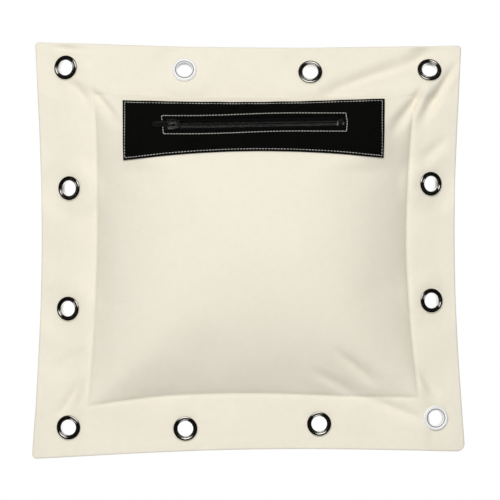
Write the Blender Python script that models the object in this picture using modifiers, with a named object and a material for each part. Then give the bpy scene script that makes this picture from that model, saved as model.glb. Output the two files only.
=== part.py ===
"""Square wall punching bag: two canvas panels, a filled pillow, a zipped patch and twelve eyelets.

Metres, +Z up. X runs to the right and +Y into the wall. The origin is the middle of the flat
back, on the wall's surface. Cut coordinates (cx, cz) are places on the flat-cut canvas, measured
from its middle, and every sewn or punched feature is laid out in them.
"""

from math import hypot, pi, radians, sin, tan

import bmesh
import bpy
from mathutils import Matrix, Vector

# Canvas panels: cut size, and how far the sewn corners pull off the square (right, up)
WIDTH = 0.402
HEIGHT = 0.386
CORNER_PULL = {
    "top_left": (-0.0003, 0.0035),
    "top_right": (-0.0002, 0.0003),
    "bottom_right": (0.0030, 0.0037),
    "bottom_left": (-0.0031, -0.0034),
}
BOW = {"left": 0.0080, "right": 0.0084, "top": 0.0039, "bottom": 0.0060}
CANVAS = 0.0012
CLEARANCE = 0.0003

# Flange round the pillow: width from the seam to the edge, and how far each side leans back
FLANGE = {"left": 0.052, "right": 0.046, "top": 0.048, "bottom": 0.051}
LEAN = {"left": radians(11), "right": radians(11), "top": radians(9), "bottom": radians(2)}

# Pillow: its height in front of the seam, the fall of its crown to each side, the ridges that
# run to its corners, and its back
CROWN = 0.044
CROWN_POWER = {"left": 2.8, "right": 2.8, "top": 2.8, "bottom": 2.2}
CROWN_FULLNESS = 0.85
RIDGE_SHARE = 0.6
RIDGE_ROUNDING = 0.15
BACK_DEPTH = 0.018
BACK_RUN = 0.035
FOOT = 0.007
FILLING_CLEARANCE = 0.0004
PILLOW_CELL = 0.026
PATCH_CELL = 0.012

# Eyelets: bore, barrel wall, rim, and the washer that the barrel is rolled over
BORE_RADIUS = 0.00725
BARREL_WALL = 0.00065
RIM_RADIUS = 0.01175
RIM_HEIGHT = 0.0020
RIM_EDGE = 0.0007
RIM_CREST_SHARE = 0.35
RIM_SHOULDER_SHARE = 0.8
WASHER_RADIUS = 0.0115
WASHER_THICKNESS = 0.0009
ROLL_RADIUS = 0.0014
ROLL_THICKNESS = 0.0005
PUNCH_CLEARANCE = 0.0004
EYELET_SIDES = 14
EYELET_INSET = {"left": 0.0290, "right": 0.0263, "top": 0.0233, "bottom": 0.0275}
CUTTER_REACH = 0.006

# How far each eyelet's hole was punched off its mark (right, up)
PUNCHED = {
    "top_left": (-0.0005, 0.0016),
    "top_centre_left": (-0.0039, 0.0001),
    "top_centre_right": (0.0003, 0.0004),
    "top_right": (-0.0022, 0.0009),
    "right_upper": (0.0021, 0.0027),
    "right_lower": (0.0022, 0.0041),
    "bottom_right": (0.0013, 0.0049),
    "bottom_centre_right": (0.0069, -0.0031),
    "bottom_centre_left": (-0.0023, -0.0044),
    "bottom_left": (0.0039, 0.0003),
    "left_lower": (-0.0018, 0.0),
    "left_upper": (-0.0013, -0.0004),
}

# Black patch: its four corners from the middle of the top seam (right, up), how far its long
# edges bow towards its middle, cloth, and gap under it
PATCH_CORNERS = {
    "top_left": (-0.1186, -0.0052),
    "top_right": (0.1306, -0.0020),
    "bottom_right": (0.1298, -0.0586),
    "bottom_left": (-0.1194, -0.0613),
}
PATCH_BOW = {"top": 0.0010, "bottom": 0.0075}
PATCH = 0.0008
PATCH_CLEARANCE = 0.0008
PATCH_COLUMNS = 26
PATCH_ROWS = 8

# Zip: middle and rise of its line, window in the patch, slot in the canvas, tapes and chain
ZIP_X = 0.0070
ZIP_DROP = 0.0267
ZIP_TILT = radians(1.2)
ZIP_SINK = 0.0015
WINDOW_LENGTH = 0.1696
WINDOW_WIDTH = 0.0130
SLOT_WIDTH = 0.0140
TAPE_PAST_WINDOW = 0.0022
TAPE_REACH = 0.0135
TAPE = 0.0005
CHAIN_WIDTH = 0.0058
CHAIN_THICKNESS = 0.0026
TOOTH_PITCH = 0.0030
TOOTH_REACH = 0.0006
FLAT_MARGIN = 0.0080
FLAT_FADE = 0.036

# Slider: body, the wedge that parts the teeth, and the bridge for the pull
SLIDER_LENGTH = 0.0115
PLATE = 0.0010
SIDE_WALL = 0.00085
WEDGE_WIDTH = 0.0014
WEDGE_LENGTH = 0.0036
WEDGE_BLUNT = 0.0020
PARTING_RUN = 0.0042
PARTING_LAG = 0.000525
PARTING_STEPS = 6
TAPE_GROOVE = 0.0012
BRIDGE_LENGTH = 0.0068
BRIDGE_WIDTH = 0.0024
BRIDGE_HEIGHT = 0.0029
BRIDGE_WALL = 0.0009
STOP_LENGTH = 0.0018
BOTTOM_STOP_LENGTH = 0.0040
BOTTOM_STOP_INSET = 0.0034

# Pull tab: a plate with a slot that leaves a bar under the bridge
PULL_LENGTH = 0.0200
PULL_WIDTH = 0.0058
PULL_THICKNESS = 0.0012
PULL_BAR = 0.0011
PULL_SLOT = 0.0050
PULL_DROOP = radians(3)

# Threads, laid on the cloth
THREAD = 0.0005
CHAMBER_THREAD_OUT = 0.0020
PATCH_STITCH_INSET = 0.0022
ZIP_STITCH_OUT = 0.0012
ZIP_STITCH_SIDE = 0.0035
STITCH_STEP = 0.0090

# Colours (linear), roughness and metallic value
FINISHES = {
    "cream_canvas": ((0.80, 0.76, 0.66), 0.90, 0.0),
    "filling_felt": ((0.55, 0.53, 0.50), 0.95, 0.0),
    "black_cloth": ((0.006, 0.006, 0.005), 0.85, 0.0),
    "black_tape": ((0.008, 0.008, 0.008), 0.75, 0.0),
    "black_teeth": ((0.010, 0.010, 0.010), 0.40, 0.0),
    "black_enamel": ((0.012, 0.012, 0.012), 0.22, 0.6),
    "chrome": ((0.80, 0.80, 0.80), 0.08, 1.0),
    "grey_thread": ((0.58, 0.58, 0.53), 0.70, 0.0),
    "cream_thread": ((0.78, 0.74, 0.64), 0.75, 0.0),
}

TWO_LAYERS = 2 * CANVAS + CLEARANCE
SEAM_Y = -(BACK_DEPTH + TWO_LAYERS)
EDGE = {"left": -WIDTH / 2, "right": WIDTH / 2, "top": HEIGHT / 2, "bottom": -HEIGHT / 2}
SEAM = {
    "left": EDGE["left"] + FLANGE["left"],
    "right": EDGE["right"] - FLANGE["right"],
    "top": EDGE["top"] - FLANGE["top"],
    "bottom": EDGE["bottom"] + FLANGE["bottom"],
}
ZIP_Z = SEAM["top"] - ZIP_DROP
TAPE_LENGTH = WINDOW_LENGTH + 2 * TAPE_PAST_WINDOW
TAPE_BACK = CLEARANCE
TAPE_FRONT = TAPE_BACK + TAPE
CHAIN_BACK = (TAPE_BACK + TAPE_FRONT - CHAIN_THICKNESS) / 2
CHAIN_FRONT = CHAIN_BACK + CHAIN_THICKNESS
PLATE_TOP = CHAIN_FRONT + CLEARANCE + PLATE
PLATE_BOTTOM = CHAIN_BACK - CLEARANCE - PLATE
RELIEF = -PLATE_BOTTOM - CANVAS + 2 * CLEARANCE
SPREAD = TOOTH_REACH + WEDGE_WIDTH / 2 + CLEARANCE
STOP_LEFT = -WINDOW_LENGTH / 2 + CLEARANCE
SLIDER_X = STOP_LEFT + STOP_LENGTH + CLEARANCE + SLIDER_LENGTH / 2
PARTED_FROM = SLIDER_X - SLIDER_LENGTH / 2 + WEDGE_BLUNT + CLEARANCE
BOTTOM_STOP_LEFT = WINDOW_LENGTH / 2 - BOTTOM_STOP_INSET - BOTTOM_STOP_LENGTH
SLIDER_TRAVEL = BOTTOM_STOP_LEFT - CLEARANCE - SLIDER_LENGTH / 2 - SLIDER_X
HINGE_HEIGHT = PLATE_TOP + (BRIDGE_HEIGHT - BRIDGE_WALL) / 2
STEP = 0.001


def smooth(value):
    """Ease from 0 to 1 as value goes from 0 to 1."""
    value = min(max(value, 0.0), 1.0)
    return value * value * (3 - 2 * value)


def corner_blend(corners, across, up):
    """Point between four corners, with across and up from 0 to 1."""
    low = Vector(corners["bottom_left"]).lerp(Vector(corners["bottom_right"]), across)
    high = Vector(corners["top_left"]).lerp(Vector(corners["top_right"]), across)
    return low.lerp(high, up)


def sewn_place(cx, cz):
    """World x and z of a place on the cut canvas: corners pulled, edges bowed in by the filling."""
    across = cx / WIDTH + 0.5
    up = cz / HEIGHT + 0.5
    pull = corner_blend(CORNER_PULL, across, up)
    x = cx + pull.x + sin(pi * up) * (BOW["left"] * (1 - across) - BOW["right"] * across)
    z = cz + pull.y + sin(pi * across) * (BOW["bottom"] * (1 - up) - BOW["top"] * up)
    return x, z


def flange_lean(cx, cz):
    """How far the flange has leaned back at a place outside the seam."""
    return (
        tan(LEAN["left"]) * max(SEAM["left"] - cx, 0)
        + tan(LEAN["right"]) * max(cx - SEAM["right"], 0)
        + tan(LEAN["top"]) * max(cz - SEAM["top"], 0)
        + tan(LEAN["bottom"]) * max(SEAM["bottom"] - cz, 0)
    )


def inside_seam(cx, cz):
    """Distance from the nearest side of the seam, below 0 on the flange."""
    return min(cx - SEAM["left"], SEAM["right"] - cx, cz - SEAM["bottom"], SEAM["top"] - cz)


def pillow_fall(value, low_side, high_side):
    """1 in the middle of the pillow, falling to 0 at the seam of either side."""
    low, high = SEAM[low_side], SEAM[high_side]
    share = (2 * value - low - high) / (high - low)
    power = CROWN_POWER[high_side if share > 0 else low_side]
    return 1 - min(abs(share), 1) ** power


def free_crown(cx, cz):
    """Height of the crown in front of the seam, before the zip flattens it."""
    across = pillow_fall(cx, "left", "right")
    up = pillow_fall(cz, "bottom", "top")
    ridge = (across + up + hypot(across - up, RIDGE_ROUNDING)) / (2 + RIDGE_ROUNDING)
    return CROWN * (across * up / ridge**RIDGE_SHARE) ** CROWN_FULLNESS


ZIP_HEIGHT = free_crown(ZIP_X, ZIP_Z) - ZIP_SINK
ZIP_SLOPE = (free_crown(ZIP_X, ZIP_Z - STEP) - free_crown(ZIP_X, ZIP_Z + STEP)) / (2 * STEP)
ZIP_COS = 1 / hypot(1, ZIP_SLOPE)
ZIP_SIN = ZIP_SLOPE * ZIP_COS
ZIP_CENTRE = Vector((*sewn_place(ZIP_X, ZIP_Z), SEAM_Y - ZIP_HEIGHT)).xzy
ZIP_FRAME = Matrix(
    (
        (1, 0, 0, ZIP_CENTRE.x),
        (0, ZIP_SIN, -ZIP_COS, ZIP_CENTRE.y),
        (0, ZIP_COS, ZIP_SIN, ZIP_CENTRE.z),
        (0, 0, 0, 1),
    )
) @ Matrix.Rotation(ZIP_TILT, 4, "Z")


def zip_zone(x, z, half_length, half_width, fade):
    """1 inside a rectangle about the zip, seen from the front, and 0 past its faded border."""
    past_end = (abs(x - ZIP_CENTRE.x) - half_length) / fade
    past_side = (abs(z - ZIP_CENTRE.z) / ZIP_COS - half_width) / fade
    return (1 - smooth(past_end)) * (1 - smooth(past_side))


def tape_zone(x, z, fade):
    """The zone that the zip tapes hold flat."""
    half_length = TAPE_LENGTH / 2 + FLAT_MARGIN
    return zip_zone(x, z, half_length, TAPE_REACH + FLAT_MARGIN / 2, fade)


def front_point(cx, cz):
    """Place on the front panel's outer face."""
    x, z = sewn_place(cx, cz)
    height = free_crown(cx, cz)
    flat = ZIP_HEIGHT - (z - ZIP_CENTRE.z) * ZIP_SLOPE
    held = tape_zone(x, z, FLAT_FADE) * smooth(inside_seam(cx, cz) / FOOT)
    height += (flat - height) * held
    return Vector((x, SEAM_Y + flange_lean(cx, cz) - height, z))


def front_normal(cx, cz):
    """Outward direction there: square to the crown, and straight forward on the flange."""
    if inside_seam(cx, cz) < STEP:
        return Vector((0, -1, 0))
    across = front_point(cx + STEP, cz) - front_point(cx - STEP, cz)
    up = front_point(cx, cz + STEP) - front_point(cx, cz - STEP)
    return across.cross(up).normalized()


def front_offset(cx, cz, outward):
    """Place at a distance in front of the front panel's outer face."""
    return front_point(cx, cz) + front_normal(cx, cz) * outward


def back_offset(cx, cz, inward):
    """Place at a distance in front of the back panel's rear face."""
    x, z = sewn_place(cx, cz)
    depth = BACK_DEPTH * (1 - min(max(inside_seam(cx, cz) / BACK_RUN, 0), 1))
    return Vector((x, flange_lean(cx, cz) - depth - inward, z))


def stepped(start, stops):
    """Grid lines from a start through stops, each with the widest cell on the way to it."""
    lines = [start]
    for stop, cell in stops:
        low = lines[-1]
        count = max(1, round((stop - low) / cell))
        lines += [low + (stop - low) * (i + 1) / count for i in range(count)]
    return lines


def eyelet_marks():
    """Each eyelet's mark on the cut canvas: four along each side, in line from side to side."""
    left, right = EDGE["left"] + EYELET_INSET["left"], EDGE["right"] - EYELET_INSET["right"]
    bottom, top = EDGE["bottom"] + EYELET_INSET["bottom"], EDGE["top"] - EYELET_INSET["top"]
    marks = {}
    for i, column in enumerate(("left", "centre_left", "centre_right", "right")):
        cx = left + (right - left) * i / 3
        marks["top_" + column] = cx, top
        marks["bottom_" + column] = cx, bottom
    for i, row in enumerate(("lower", "upper"), 1):
        cz = bottom + (top - bottom) * i / 3
        marks["left_" + row] = left, cz
        marks["right_" + row] = right, cz
    return marks


def panel_grid():
    """Columns and rows of the grid that both canvas panels and the filling share."""
    reach = (TAPE_LENGTH + FLAT_MARGIN) / 2
    columns = stepped(
        EDGE["left"],
        [
            (SEAM["left"], WIDTH),
            (SEAM["left"] + FOOT, FOOT),
            (ZIP_X - reach, PATCH_CELL),
            (ZIP_X + reach, PILLOW_CELL),
            (SEAM["right"] - FOOT, PATCH_CELL),
            (SEAM["right"], FOOT),
            (EDGE["right"], WIDTH),
        ],
    )
    side = (TAPE_REACH + FLAT_MARGIN / 4) * ZIP_COS
    under_patch = patch_place(0, 0)[1] - PATCH_CLEARANCE
    rows = stepped(
        EDGE["bottom"],
        [
            (SEAM["bottom"], HEIGHT),
            (SEAM["bottom"] + FOOT, FOOT),
            (under_patch, PILLOW_CELL),
            (ZIP_Z - side, PATCH_CELL),
            (ZIP_Z + side, PATCH_CELL),
            (SEAM["top"] - FOOT, FOOT),
            (SEAM["top"], FOOT),
            (EDGE["top"], HEIGHT),
        ],
    )
    return columns, rows


def make_collection(name):
    """New collection in the scene."""
    collection = bpy.data.collections.new(name)
    bpy.context.scene.collection.children.link(collection)
    return collection


def make_finish(name):
    """Principled material of a named finish."""
    colour, roughness, metallic = FINISHES[name]
    material = bpy.data.materials.new(name)
    material.use_nodes = True
    shader = material.node_tree.nodes["Principled BSDF"]
    shader.inputs["Base Color"].default_value = (*colour, 1)
    shader.inputs["Roughness"].default_value = roughness
    shader.inputs["Metallic"].default_value = metallic
    return material


def add_mesh(name, bm, collection, finish=None, origin=None):
    """Object from a bmesh, its origin moved to a point if one is given."""
    if origin is not None:
        bm.transform(Matrix.Translation(-origin))
    bmesh.ops.recalc_face_normals(bm, faces=bm.faces)
    mesh = bpy.data.meshes.new(name)
    bm.to_mesh(mesh)
    bm.free()
    item = bpy.data.objects.new(name, mesh)
    collection.objects.link(item)
    if origin is not None:
        item.location = origin
    if finish:
        mesh.materials.append(finish)
    return item


def add_cutter(name, bm, cutters):
    """Hidden helper for a Boolean."""
    item = add_mesh(name, bm, cutters)
    item.hide_render = True
    item.display_type = "WIRE"
    return item


def add_boolean(item, other, operation):
    """Cut an object by another, or join the two."""
    modifier = item.modifiers.new(other.name, "BOOLEAN")
    modifier.operation = operation
    modifier.solver = "EXACT"
    modifier.object = other


def round_shade(item, angle):
    """Smooth shading that keeps the edges sharper than an angle."""
    item.data.shade_smooth()
    item.data.set_sharp_from_angle(angle=radians(angle))


def lay_slab(columns, rows, rear, front):
    """Closed sheet on a grid: its rear and front faces are given by two functions of the grid."""
    bm = bmesh.new()
    bmesh.ops.create_grid(bm, x_segments=len(columns) - 1, y_segments=len(rows) - 1, size=1)
    across = sorted({round(v.co.x, 5) for v in bm.verts})
    up = sorted({round(v.co.y, 5) for v in bm.verts})
    for vertex in bm.verts:
        column = across.index(round(vertex.co.x, 5))
        row = up.index(round(vertex.co.y, 5))
        vertex.co = (columns[column], rows[row], 0)
    middle_x = (columns[0] + columns[-1]) / 2
    middle_z = (rows[0] + rows[-1]) / 2
    for face in list(bm.faces):
        centre = face.calc_center_median()
        rising = (centre.x - middle_x) * (centre.y - middle_z) > 0
        order = sorted(face.verts, key=lambda v: v.co.y + (v.co.x if rising else -v.co.x))
        bmesh.utils.face_split(face, order[0], order[-1])
    rear_verts = list(bm.verts)
    moved = bmesh.ops.extrude_face_region(bm, geom=list(bm.faces))["geom"]
    front_verts = [item for item in moved if isinstance(item, bmesh.types.BMVert)]
    for vertex in rear_verts:
        vertex.co = rear(vertex.co.x, vertex.co.y)
    for vertex in front_verts:
        vertex.co = front(vertex.co.x, vertex.co.y)
    return bm


def prism(outline, low, high):
    """Solid with a flat outline, from one height to another."""
    bm = bmesh.new()
    face = bm.faces.new([bm.verts.new((x, y, low)) for x, y in outline])
    raised = bmesh.ops.extrude_face_region(bm, geom=[face])["geom"]
    corners = [item for item in raised if isinstance(item, bmesh.types.BMVert)]
    bmesh.ops.translate(bm, vec=(0, 0, high - low), verts=corners)
    return bm


def box(x_low, x_high, y_low, y_high, z_low, z_high):
    """Solid box between two corners."""
    bm = bmesh.new()
    bmesh.ops.create_cube(bm, size=1)
    size = Vector((x_high - x_low, y_high - y_low, z_high - z_low))
    centre = Vector((x_low + x_high, y_low + y_high, z_low + z_high)) / 2
    bm.transform(Matrix.Translation(centre) @ Matrix.Diagonal((*size, 1)))
    return bm


def on_zip(bm):
    """Move a shape made in the zip's own frame to its place on the crown."""
    bm.transform(ZIP_FRAME)
    return bm


def eyelet_frames():
    """Each eyelet's name and its frame: origin on the flange's front face, +Z outward."""
    frames = {}
    reach = BORE_RADIUS
    for name, (cx, cz) in eyelet_marks().items():
        right, up = PUNCHED[name]
        cx += right
        cz += up
        x_axis = (front_point(cx + reach, cz) - front_point(cx - reach, cz)).normalized()
        z_axis = x_axis.cross(front_point(cx, cz + reach) - front_point(cx, cz - reach))
        z_axis.normalize()
        frame = Matrix((x_axis, z_axis.cross(x_axis), z_axis)).transposed().to_4x4()
        frames[name] = Matrix.Translation(front_point(cx, cz)) @ frame
    return frames


def turned(name, profile, frame, collection, finish):
    """Ring turned from a closed profile of (radius, height), set in a frame."""
    bm = bmesh.new()
    points = [bm.verts.new((radius, 0, height)) for radius, height in profile]
    for first, second in zip(points, points[1:] + points[:1]):
        bm.edges.new((first, second))
    mesh = bpy.data.meshes.new(name)
    bm.to_mesh(mesh)
    bm.free()
    item = bpy.data.objects.new(name, mesh)
    collection.objects.link(item)
    item.matrix_world = frame
    mesh.materials.append(finish)
    screw = item.modifiers.new("turn", "SCREW")
    screw.axis = "Z"
    screw.angle = 2 * pi
    screw.steps = EYELET_SIDES
    screw.render_steps = EYELET_SIDES
    screw.use_merge_vertices = True
    screw.merge_threshold = 0.00001
    screw.use_smooth_shade = True
    return item


def punch(collection, cutters, finish, panels):
    """Twelve eyelets with their washers, and the holes for them in both panels."""
    barrel = BORE_RADIUS + BARREL_WALL
    hole = barrel + PUNCH_CLEARANCE
    rear = -TWO_LAYERS
    washer_front = rear - CLEARANCE
    washer_rear = washer_front - WASHER_THICKNESS
    roll = washer_rear - CLEARANCE
    roll_rear = roll - 3 * ROLL_THICKNESS / 2
    rim = RIM_RADIUS - BORE_RADIUS
    eyelet_profile = [
        (BORE_RADIUS + RIM_CREST_SHARE * rim, RIM_HEIGHT),
        (BORE_RADIUS + RIM_SHOULDER_SHARE * rim, RIM_SHOULDER_SHARE * RIM_HEIGHT),
        (RIM_RADIUS, CLEARANCE + RIM_EDGE),
        (RIM_RADIUS - RIM_EDGE / 2, CLEARANCE),
        (barrel, CLEARANCE),
        (barrel, roll),
        (barrel + ROLL_RADIUS, roll - ROLL_THICKNESS / 2),
        (barrel + ROLL_RADIUS, roll_rear),
        (BORE_RADIUS, roll_rear),
        (BORE_RADIUS, RIM_HEIGHT / 2),
    ]
    washer_profile = [
        (WASHER_RADIUS, washer_front),
        (WASHER_RADIUS - WASHER_THICKNESS / 2, washer_rear),
        (hole, washer_rear),
        (hole, washer_front),
    ]
    cut = bmesh.new()
    for name, frame in eyelet_frames().items():
        turned("grommet_" + name, eyelet_profile, frame, collection, finish)
        turned("washer_" + name, washer_profile, frame, collection, finish)
        middle = frame @ Matrix.Translation((0, 0, rear / 2))
        bmesh.ops.create_cone(
            cut,
            cap_ends=True,
            segments=EYELET_SIDES,
            radius1=hole,
            radius2=hole,
            depth=2 * CUTTER_REACH,
            matrix=middle,
        )
    cutter = add_cutter("eyelet_holes", cut, cutters)
    for panel in panels:
        add_boolean(panel, cutter, "DIFFERENCE")


def make_panels(collection, finish):
    """Front and back canvas panels on one grid, so that their flanges lie face to face."""
    columns, rows = panel_grid()
    front = add_mesh(
        "front_panel",
        lay_slab(
            columns,
            rows,
            lambda cx, cz: front_offset(cx, cz, -CANVAS),
            lambda cx, cz: front_offset(cx, cz, 0),
        ),
        collection,
        finish,
    )
    back = add_mesh(
        "back_panel",
        lay_slab(
            columns,
            rows,
            lambda cx, cz: back_offset(cx, cz, 0),
            lambda cx, cz: back_offset(cx, cz, CANVAS),
        ),
        collection,
        finish,
    )
    round_shade(front, 30)
    round_shade(back, 30)
    return front, back


def make_filling(collection, finish):
    """The filling, inside both panels, with room behind the zip for its slider."""
    columns, rows = panel_grid()
    inner_columns = [c for c in columns if SEAM["left"] + STEP < c < SEAM["right"] - STEP]
    inner_rows = [r for r in rows if SEAM["bottom"] + STEP < r < SEAM["top"] - STEP]

    def under_canvas(cx, cz):
        x, z = sewn_place(cx, cz)
        relief = RELIEF * zip_zone(x, z, TAPE_LENGTH / 2, SLOT_WIDTH / 2 + CLEARANCE, FLAT_MARGIN)
        return front_offset(cx, cz, -CANVAS - FILLING_CLEARANCE - relief)

    bm = lay_slab(
        inner_columns,
        inner_rows,
        lambda cx, cz: back_offset(cx, cz, CANVAS + FILLING_CLEARANCE),
        under_canvas,
    )
    round_shade(add_mesh("filling", bm, collection, finish), 60)


def patch_place(across, up):
    """Place on the cut canvas under a point of the patch, with across and up from 0 to 1."""
    place = corner_blend(PATCH_CORNERS, across, up)
    bow = PATCH_BOW["bottom"] * (1 - up) - PATCH_BOW["top"] * up
    return place.x, SEAM["top"] + place.y + sin(pi * across) * bow


def patch_point(across, up, above):
    """Place at a height above the patch's rear face."""
    cx, cz = patch_place(across, up)
    x, z = sewn_place(cx, cz)
    over_tape = TAPE_FRONT + CLEARANCE - PATCH_CLEARANCE
    lift = PATCH_CLEARANCE + over_tape * tape_zone(x, z, FLAT_MARGIN)
    return front_offset(cx, cz, lift + above)


def make_patch(collection, cutters, finish):
    """Black patch with the zip's window cut through it."""
    bm = lay_slab(
        [i / PATCH_COLUMNS for i in range(PATCH_COLUMNS + 1)],
        [i / PATCH_ROWS for i in range(PATCH_ROWS + 1)],
        lambda across, up: patch_point(across, up, 0),
        lambda across, up: patch_point(across, up, PATCH),
    )
    patch = add_mesh("zip_patch", bm, collection, finish)
    round_shade(patch, 30)
    window = box(
        -WINDOW_LENGTH / 2,
        WINDOW_LENGTH / 2,
        -WINDOW_WIDTH / 2,
        WINDOW_WIDTH / 2,
        -CUTTER_REACH,
        CUTTER_REACH,
    )
    add_boolean(patch, add_cutter("patch_window", on_zip(window), cutters), "DIFFERENCE")


def cut_slot(panel, cutters):
    """Slot in the canvas behind the zip."""
    half_length = WINDOW_LENGTH / 2
    half_width = SLOT_WIDTH / 2
    slot = box(-half_length, half_length, -half_width, half_width, -CUTTER_REACH, CUTTER_REACH)
    add_boolean(panel, add_cutter("canvas_slot", on_zip(slot), cutters), "DIFFERENCE")


def parted(x):
    """How far the slider's wedge has parted a row of teeth from the zip's line."""
    return SPREAD * smooth((PARTED_FROM + PARTING_RUN - x) / PARTING_RUN)


def row_edge(left, right):
    """Outer edge of a row of teeth, from left to right, with points where it bends."""
    bends = [PARTED_FROM + PARTING_RUN * i / PARTING_STEPS for i in range(PARTING_STEPS + 1)]
    places = [left, *[x for x in bends if left < x < right], right]
    return [(x, CHAIN_WIDTH / 2 + parted(x)) for x in places]


def tooth_row(start, left, right):
    """Outline of one row of teeth that point to -Y, with a tooth every pitch from start."""
    width = TOOTH_PITCH / 2 - CLEARANCE
    root = TOOTH_REACH + CLEARANCE
    inner = [(left, root + parted(left))]
    middle = start
    while middle + width / 2 < right:
        if middle - width / 2 > left:
            for side, depth in ((-1, root), (-1, -TOOTH_REACH), (1, -TOOTH_REACH), (1, root)):
                x = middle + side * width / 2
                inner.append((x, depth + parted(x)))
        middle += TOOTH_PITCH
    inner.append((right, root))
    return inner + row_edge(left, right)[::-1]


def mirrored(outline):
    """The outline on the other side of the zip's line, turned the same way round."""
    return [(x, -y) for x, y in reversed(outline)]


def make_chain(collection, tape_finish, tooth_finish):
    """Two tapes and two rows of teeth, closed but for the wedge in the slider."""
    left = STOP_LEFT + STOP_LENGTH + CLEARANCE
    right = BOTTOM_STOP_LEFT - CLEARANCE
    upper = tooth_row(left + TOOTH_PITCH / 2, left, right)
    lower = mirrored(tooth_row(left + TOOTH_PITCH, left, right))
    for side, outline in (("upper", upper), ("lower", lower)):
        bm = on_zip(prism(outline, CHAIN_BACK, CHAIN_FRONT))
        add_mesh("zip_teeth_" + side, bm, collection, tooth_finish)
    half = TAPE_LENGTH / 2
    inner = [(x, y + CLEARANCE) for x, y in row_edge(-half, half)]
    upper = inner + [(half, TAPE_REACH), (-half, TAPE_REACH)]
    for side, outline in (("upper", upper), ("lower", mirrored(upper))):
        bm = on_zip(prism(outline, TAPE_BACK, TAPE_FRONT))
        add_mesh("zip_tape_" + side, bm, collection, tape_finish)


def make_stops(collection, finish):
    """Top stop at the end of each row, and the bottom stop across both."""
    low = CLEARANCE + SPREAD - TOOTH_REACH
    high = CHAIN_WIDTH / 2 + SPREAD
    right = STOP_LEFT + STOP_LENGTH
    for side, near, far in (("upper", low, high), ("lower", -high, -low)):
        bm = box(STOP_LEFT, right, near, far, CHAIN_BACK, CHAIN_FRONT)
        add_mesh("zip_top_stop_" + side, on_zip(bm), collection, finish)
    reach = CHAIN_WIDTH / 2
    end = BOTTOM_STOP_LEFT + BOTTOM_STOP_LENGTH
    bm = box(BOTTOM_STOP_LEFT, end, -reach, reach, CHAIN_BACK, CHAIN_FRONT)
    add_mesh("zip_bottom_stop", on_zip(bm), collection, finish)


def slider_side(inset, past):
    """Side of the slider on +Y, from past its nose to past its tail, inset from its outer wall."""
    nose = CHAIN_WIDTH / 2 + SPREAD + CLEARANCE + SIDE_WALL - inset
    tail = nose - SPREAD
    shoulder = PARTED_FROM - SLIDER_X + PARTING_LAG
    return [(-past, nose), (shoulder, nose), (shoulder + PARTING_RUN, tail), (past, tail)]


def make_slider(collection, cutters, finish):
    """Slider: two plates joined by the wedge between the rows, with a bridge over its front."""
    half = SLIDER_LENGTH / 2
    (_, nose), *knees, (_, tail) = slider_side(0, half)
    side = [(-half, nose - SIDE_WALL), (-half + SIDE_WALL, nose), *knees]
    side += [(half - SIDE_WALL, tail), (half, tail - SIDE_WALL)]
    at_slider = ZIP_FRAME @ Matrix.Translation((SLIDER_X, 0, 0))
    body = prism(mirrored(side) + side, PLATE_BOTTOM, PLATE_TOP)
    body.transform(at_slider)
    slider = add_mesh("zip_slider", body, collection, finish, at_slider.translation)

    past = half + SIDE_WALL
    full = WEDGE_BLUNT - half
    wedge = WEDGE_WIDTH / 2
    notch = [(-past, wedge), (full, wedge), (WEDGE_LENGTH - half, 0), (full, -wedge)]
    notch.append((-past, -wedge))
    inner_side = slider_side(SIDE_WALL, past)
    channel = mirrored(inner_side)[::-1] + inner_side[::-1] + notch
    low = CHAIN_BACK - CLEARANCE
    high = CHAIN_FRONT + CLEARANCE
    groove = [(-past, -2 * nose), (past, -2 * nose), (past, 2 * nose), (-past, 2 * nose)] + notch
    tape_middle = (TAPE_BACK + TAPE_FRONT) / 2
    for name, shape, rear, front in (
        ("teeth_channel", channel, low, high),
        ("tape_groove", groove, tape_middle - TAPE_GROOVE / 2, tape_middle + TAPE_GROOVE / 2),
    ):
        bm = prism(shape, rear, front)
        bm.transform(at_slider)
        add_boolean(slider, add_cutter(name, bm, cutters), "DIFFERENCE")

    reach = BRIDGE_LENGTH / 2
    foot = PLATE_TOP - PLATE / 2
    top = PLATE_TOP + BRIDGE_HEIGHT
    under = top - BRIDGE_WALL
    round_out = BRIDGE_WALL
    round_in = BRIDGE_WALL / 2
    inner = reach - BRIDGE_WALL
    arch = [(reach, foot), (reach, top - round_out), (reach - round_out, top)]
    arch += [(-x, z) for x, z in arch[::-1]]
    arch += [(-inner, foot), (-inner, under - round_in), (-inner + round_in, under)]
    arch += [(inner - round_in, under), (inner, under - round_in), (inner, foot)]
    bm = prism(arch, -BRIDGE_WIDTH / 2, BRIDGE_WIDTH / 2)
    bm.transform(at_slider @ Matrix.Rotation(pi / 2, 4, "X"))
    add_boolean(slider, add_cutter("bridge", bm, cutters), "UNION")


def make_pull(collection, cutters, finish):
    """Pull tab lying to the left, its bar under the bridge and its origin on that bar."""
    half = PULL_WIDTH / 2
    bar = PULL_BAR / 2
    corner = half / 2
    outline = [(bar, -half), (bar, half), (-PULL_LENGTH + corner, half)]
    outline += [(-PULL_LENGTH, half - corner), (-PULL_LENGTH, corner - half)]
    outline += [(-PULL_LENGTH + corner, -half)]
    hinge = ZIP_FRAME @ Vector((SLIDER_X, 0, HINGE_HEIGHT))
    droop = Matrix.Rotation(-PULL_DROOP, 4, "Y")
    place = ZIP_FRAME @ Matrix.Translation((SLIDER_X, 0, HINGE_HEIGHT)) @ droop
    tab = prism(outline, -PULL_THICKNESS / 2, PULL_THICKNESS / 2)
    tab.transform(place)
    pull = add_mesh("zip_pull", tab, collection, finish, hinge)
    slot_half = (BRIDGE_WIDTH + PULL_THICKNESS) / 2
    slot = box(
        -bar - PULL_SLOT, -bar, -slot_half, slot_half, -PULL_THICKNESS, PULL_THICKNESS
    )
    slot.transform(place)
    add_boolean(pull, add_cutter("pull_slot", slot, cutters), "DIFFERENCE")


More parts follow.
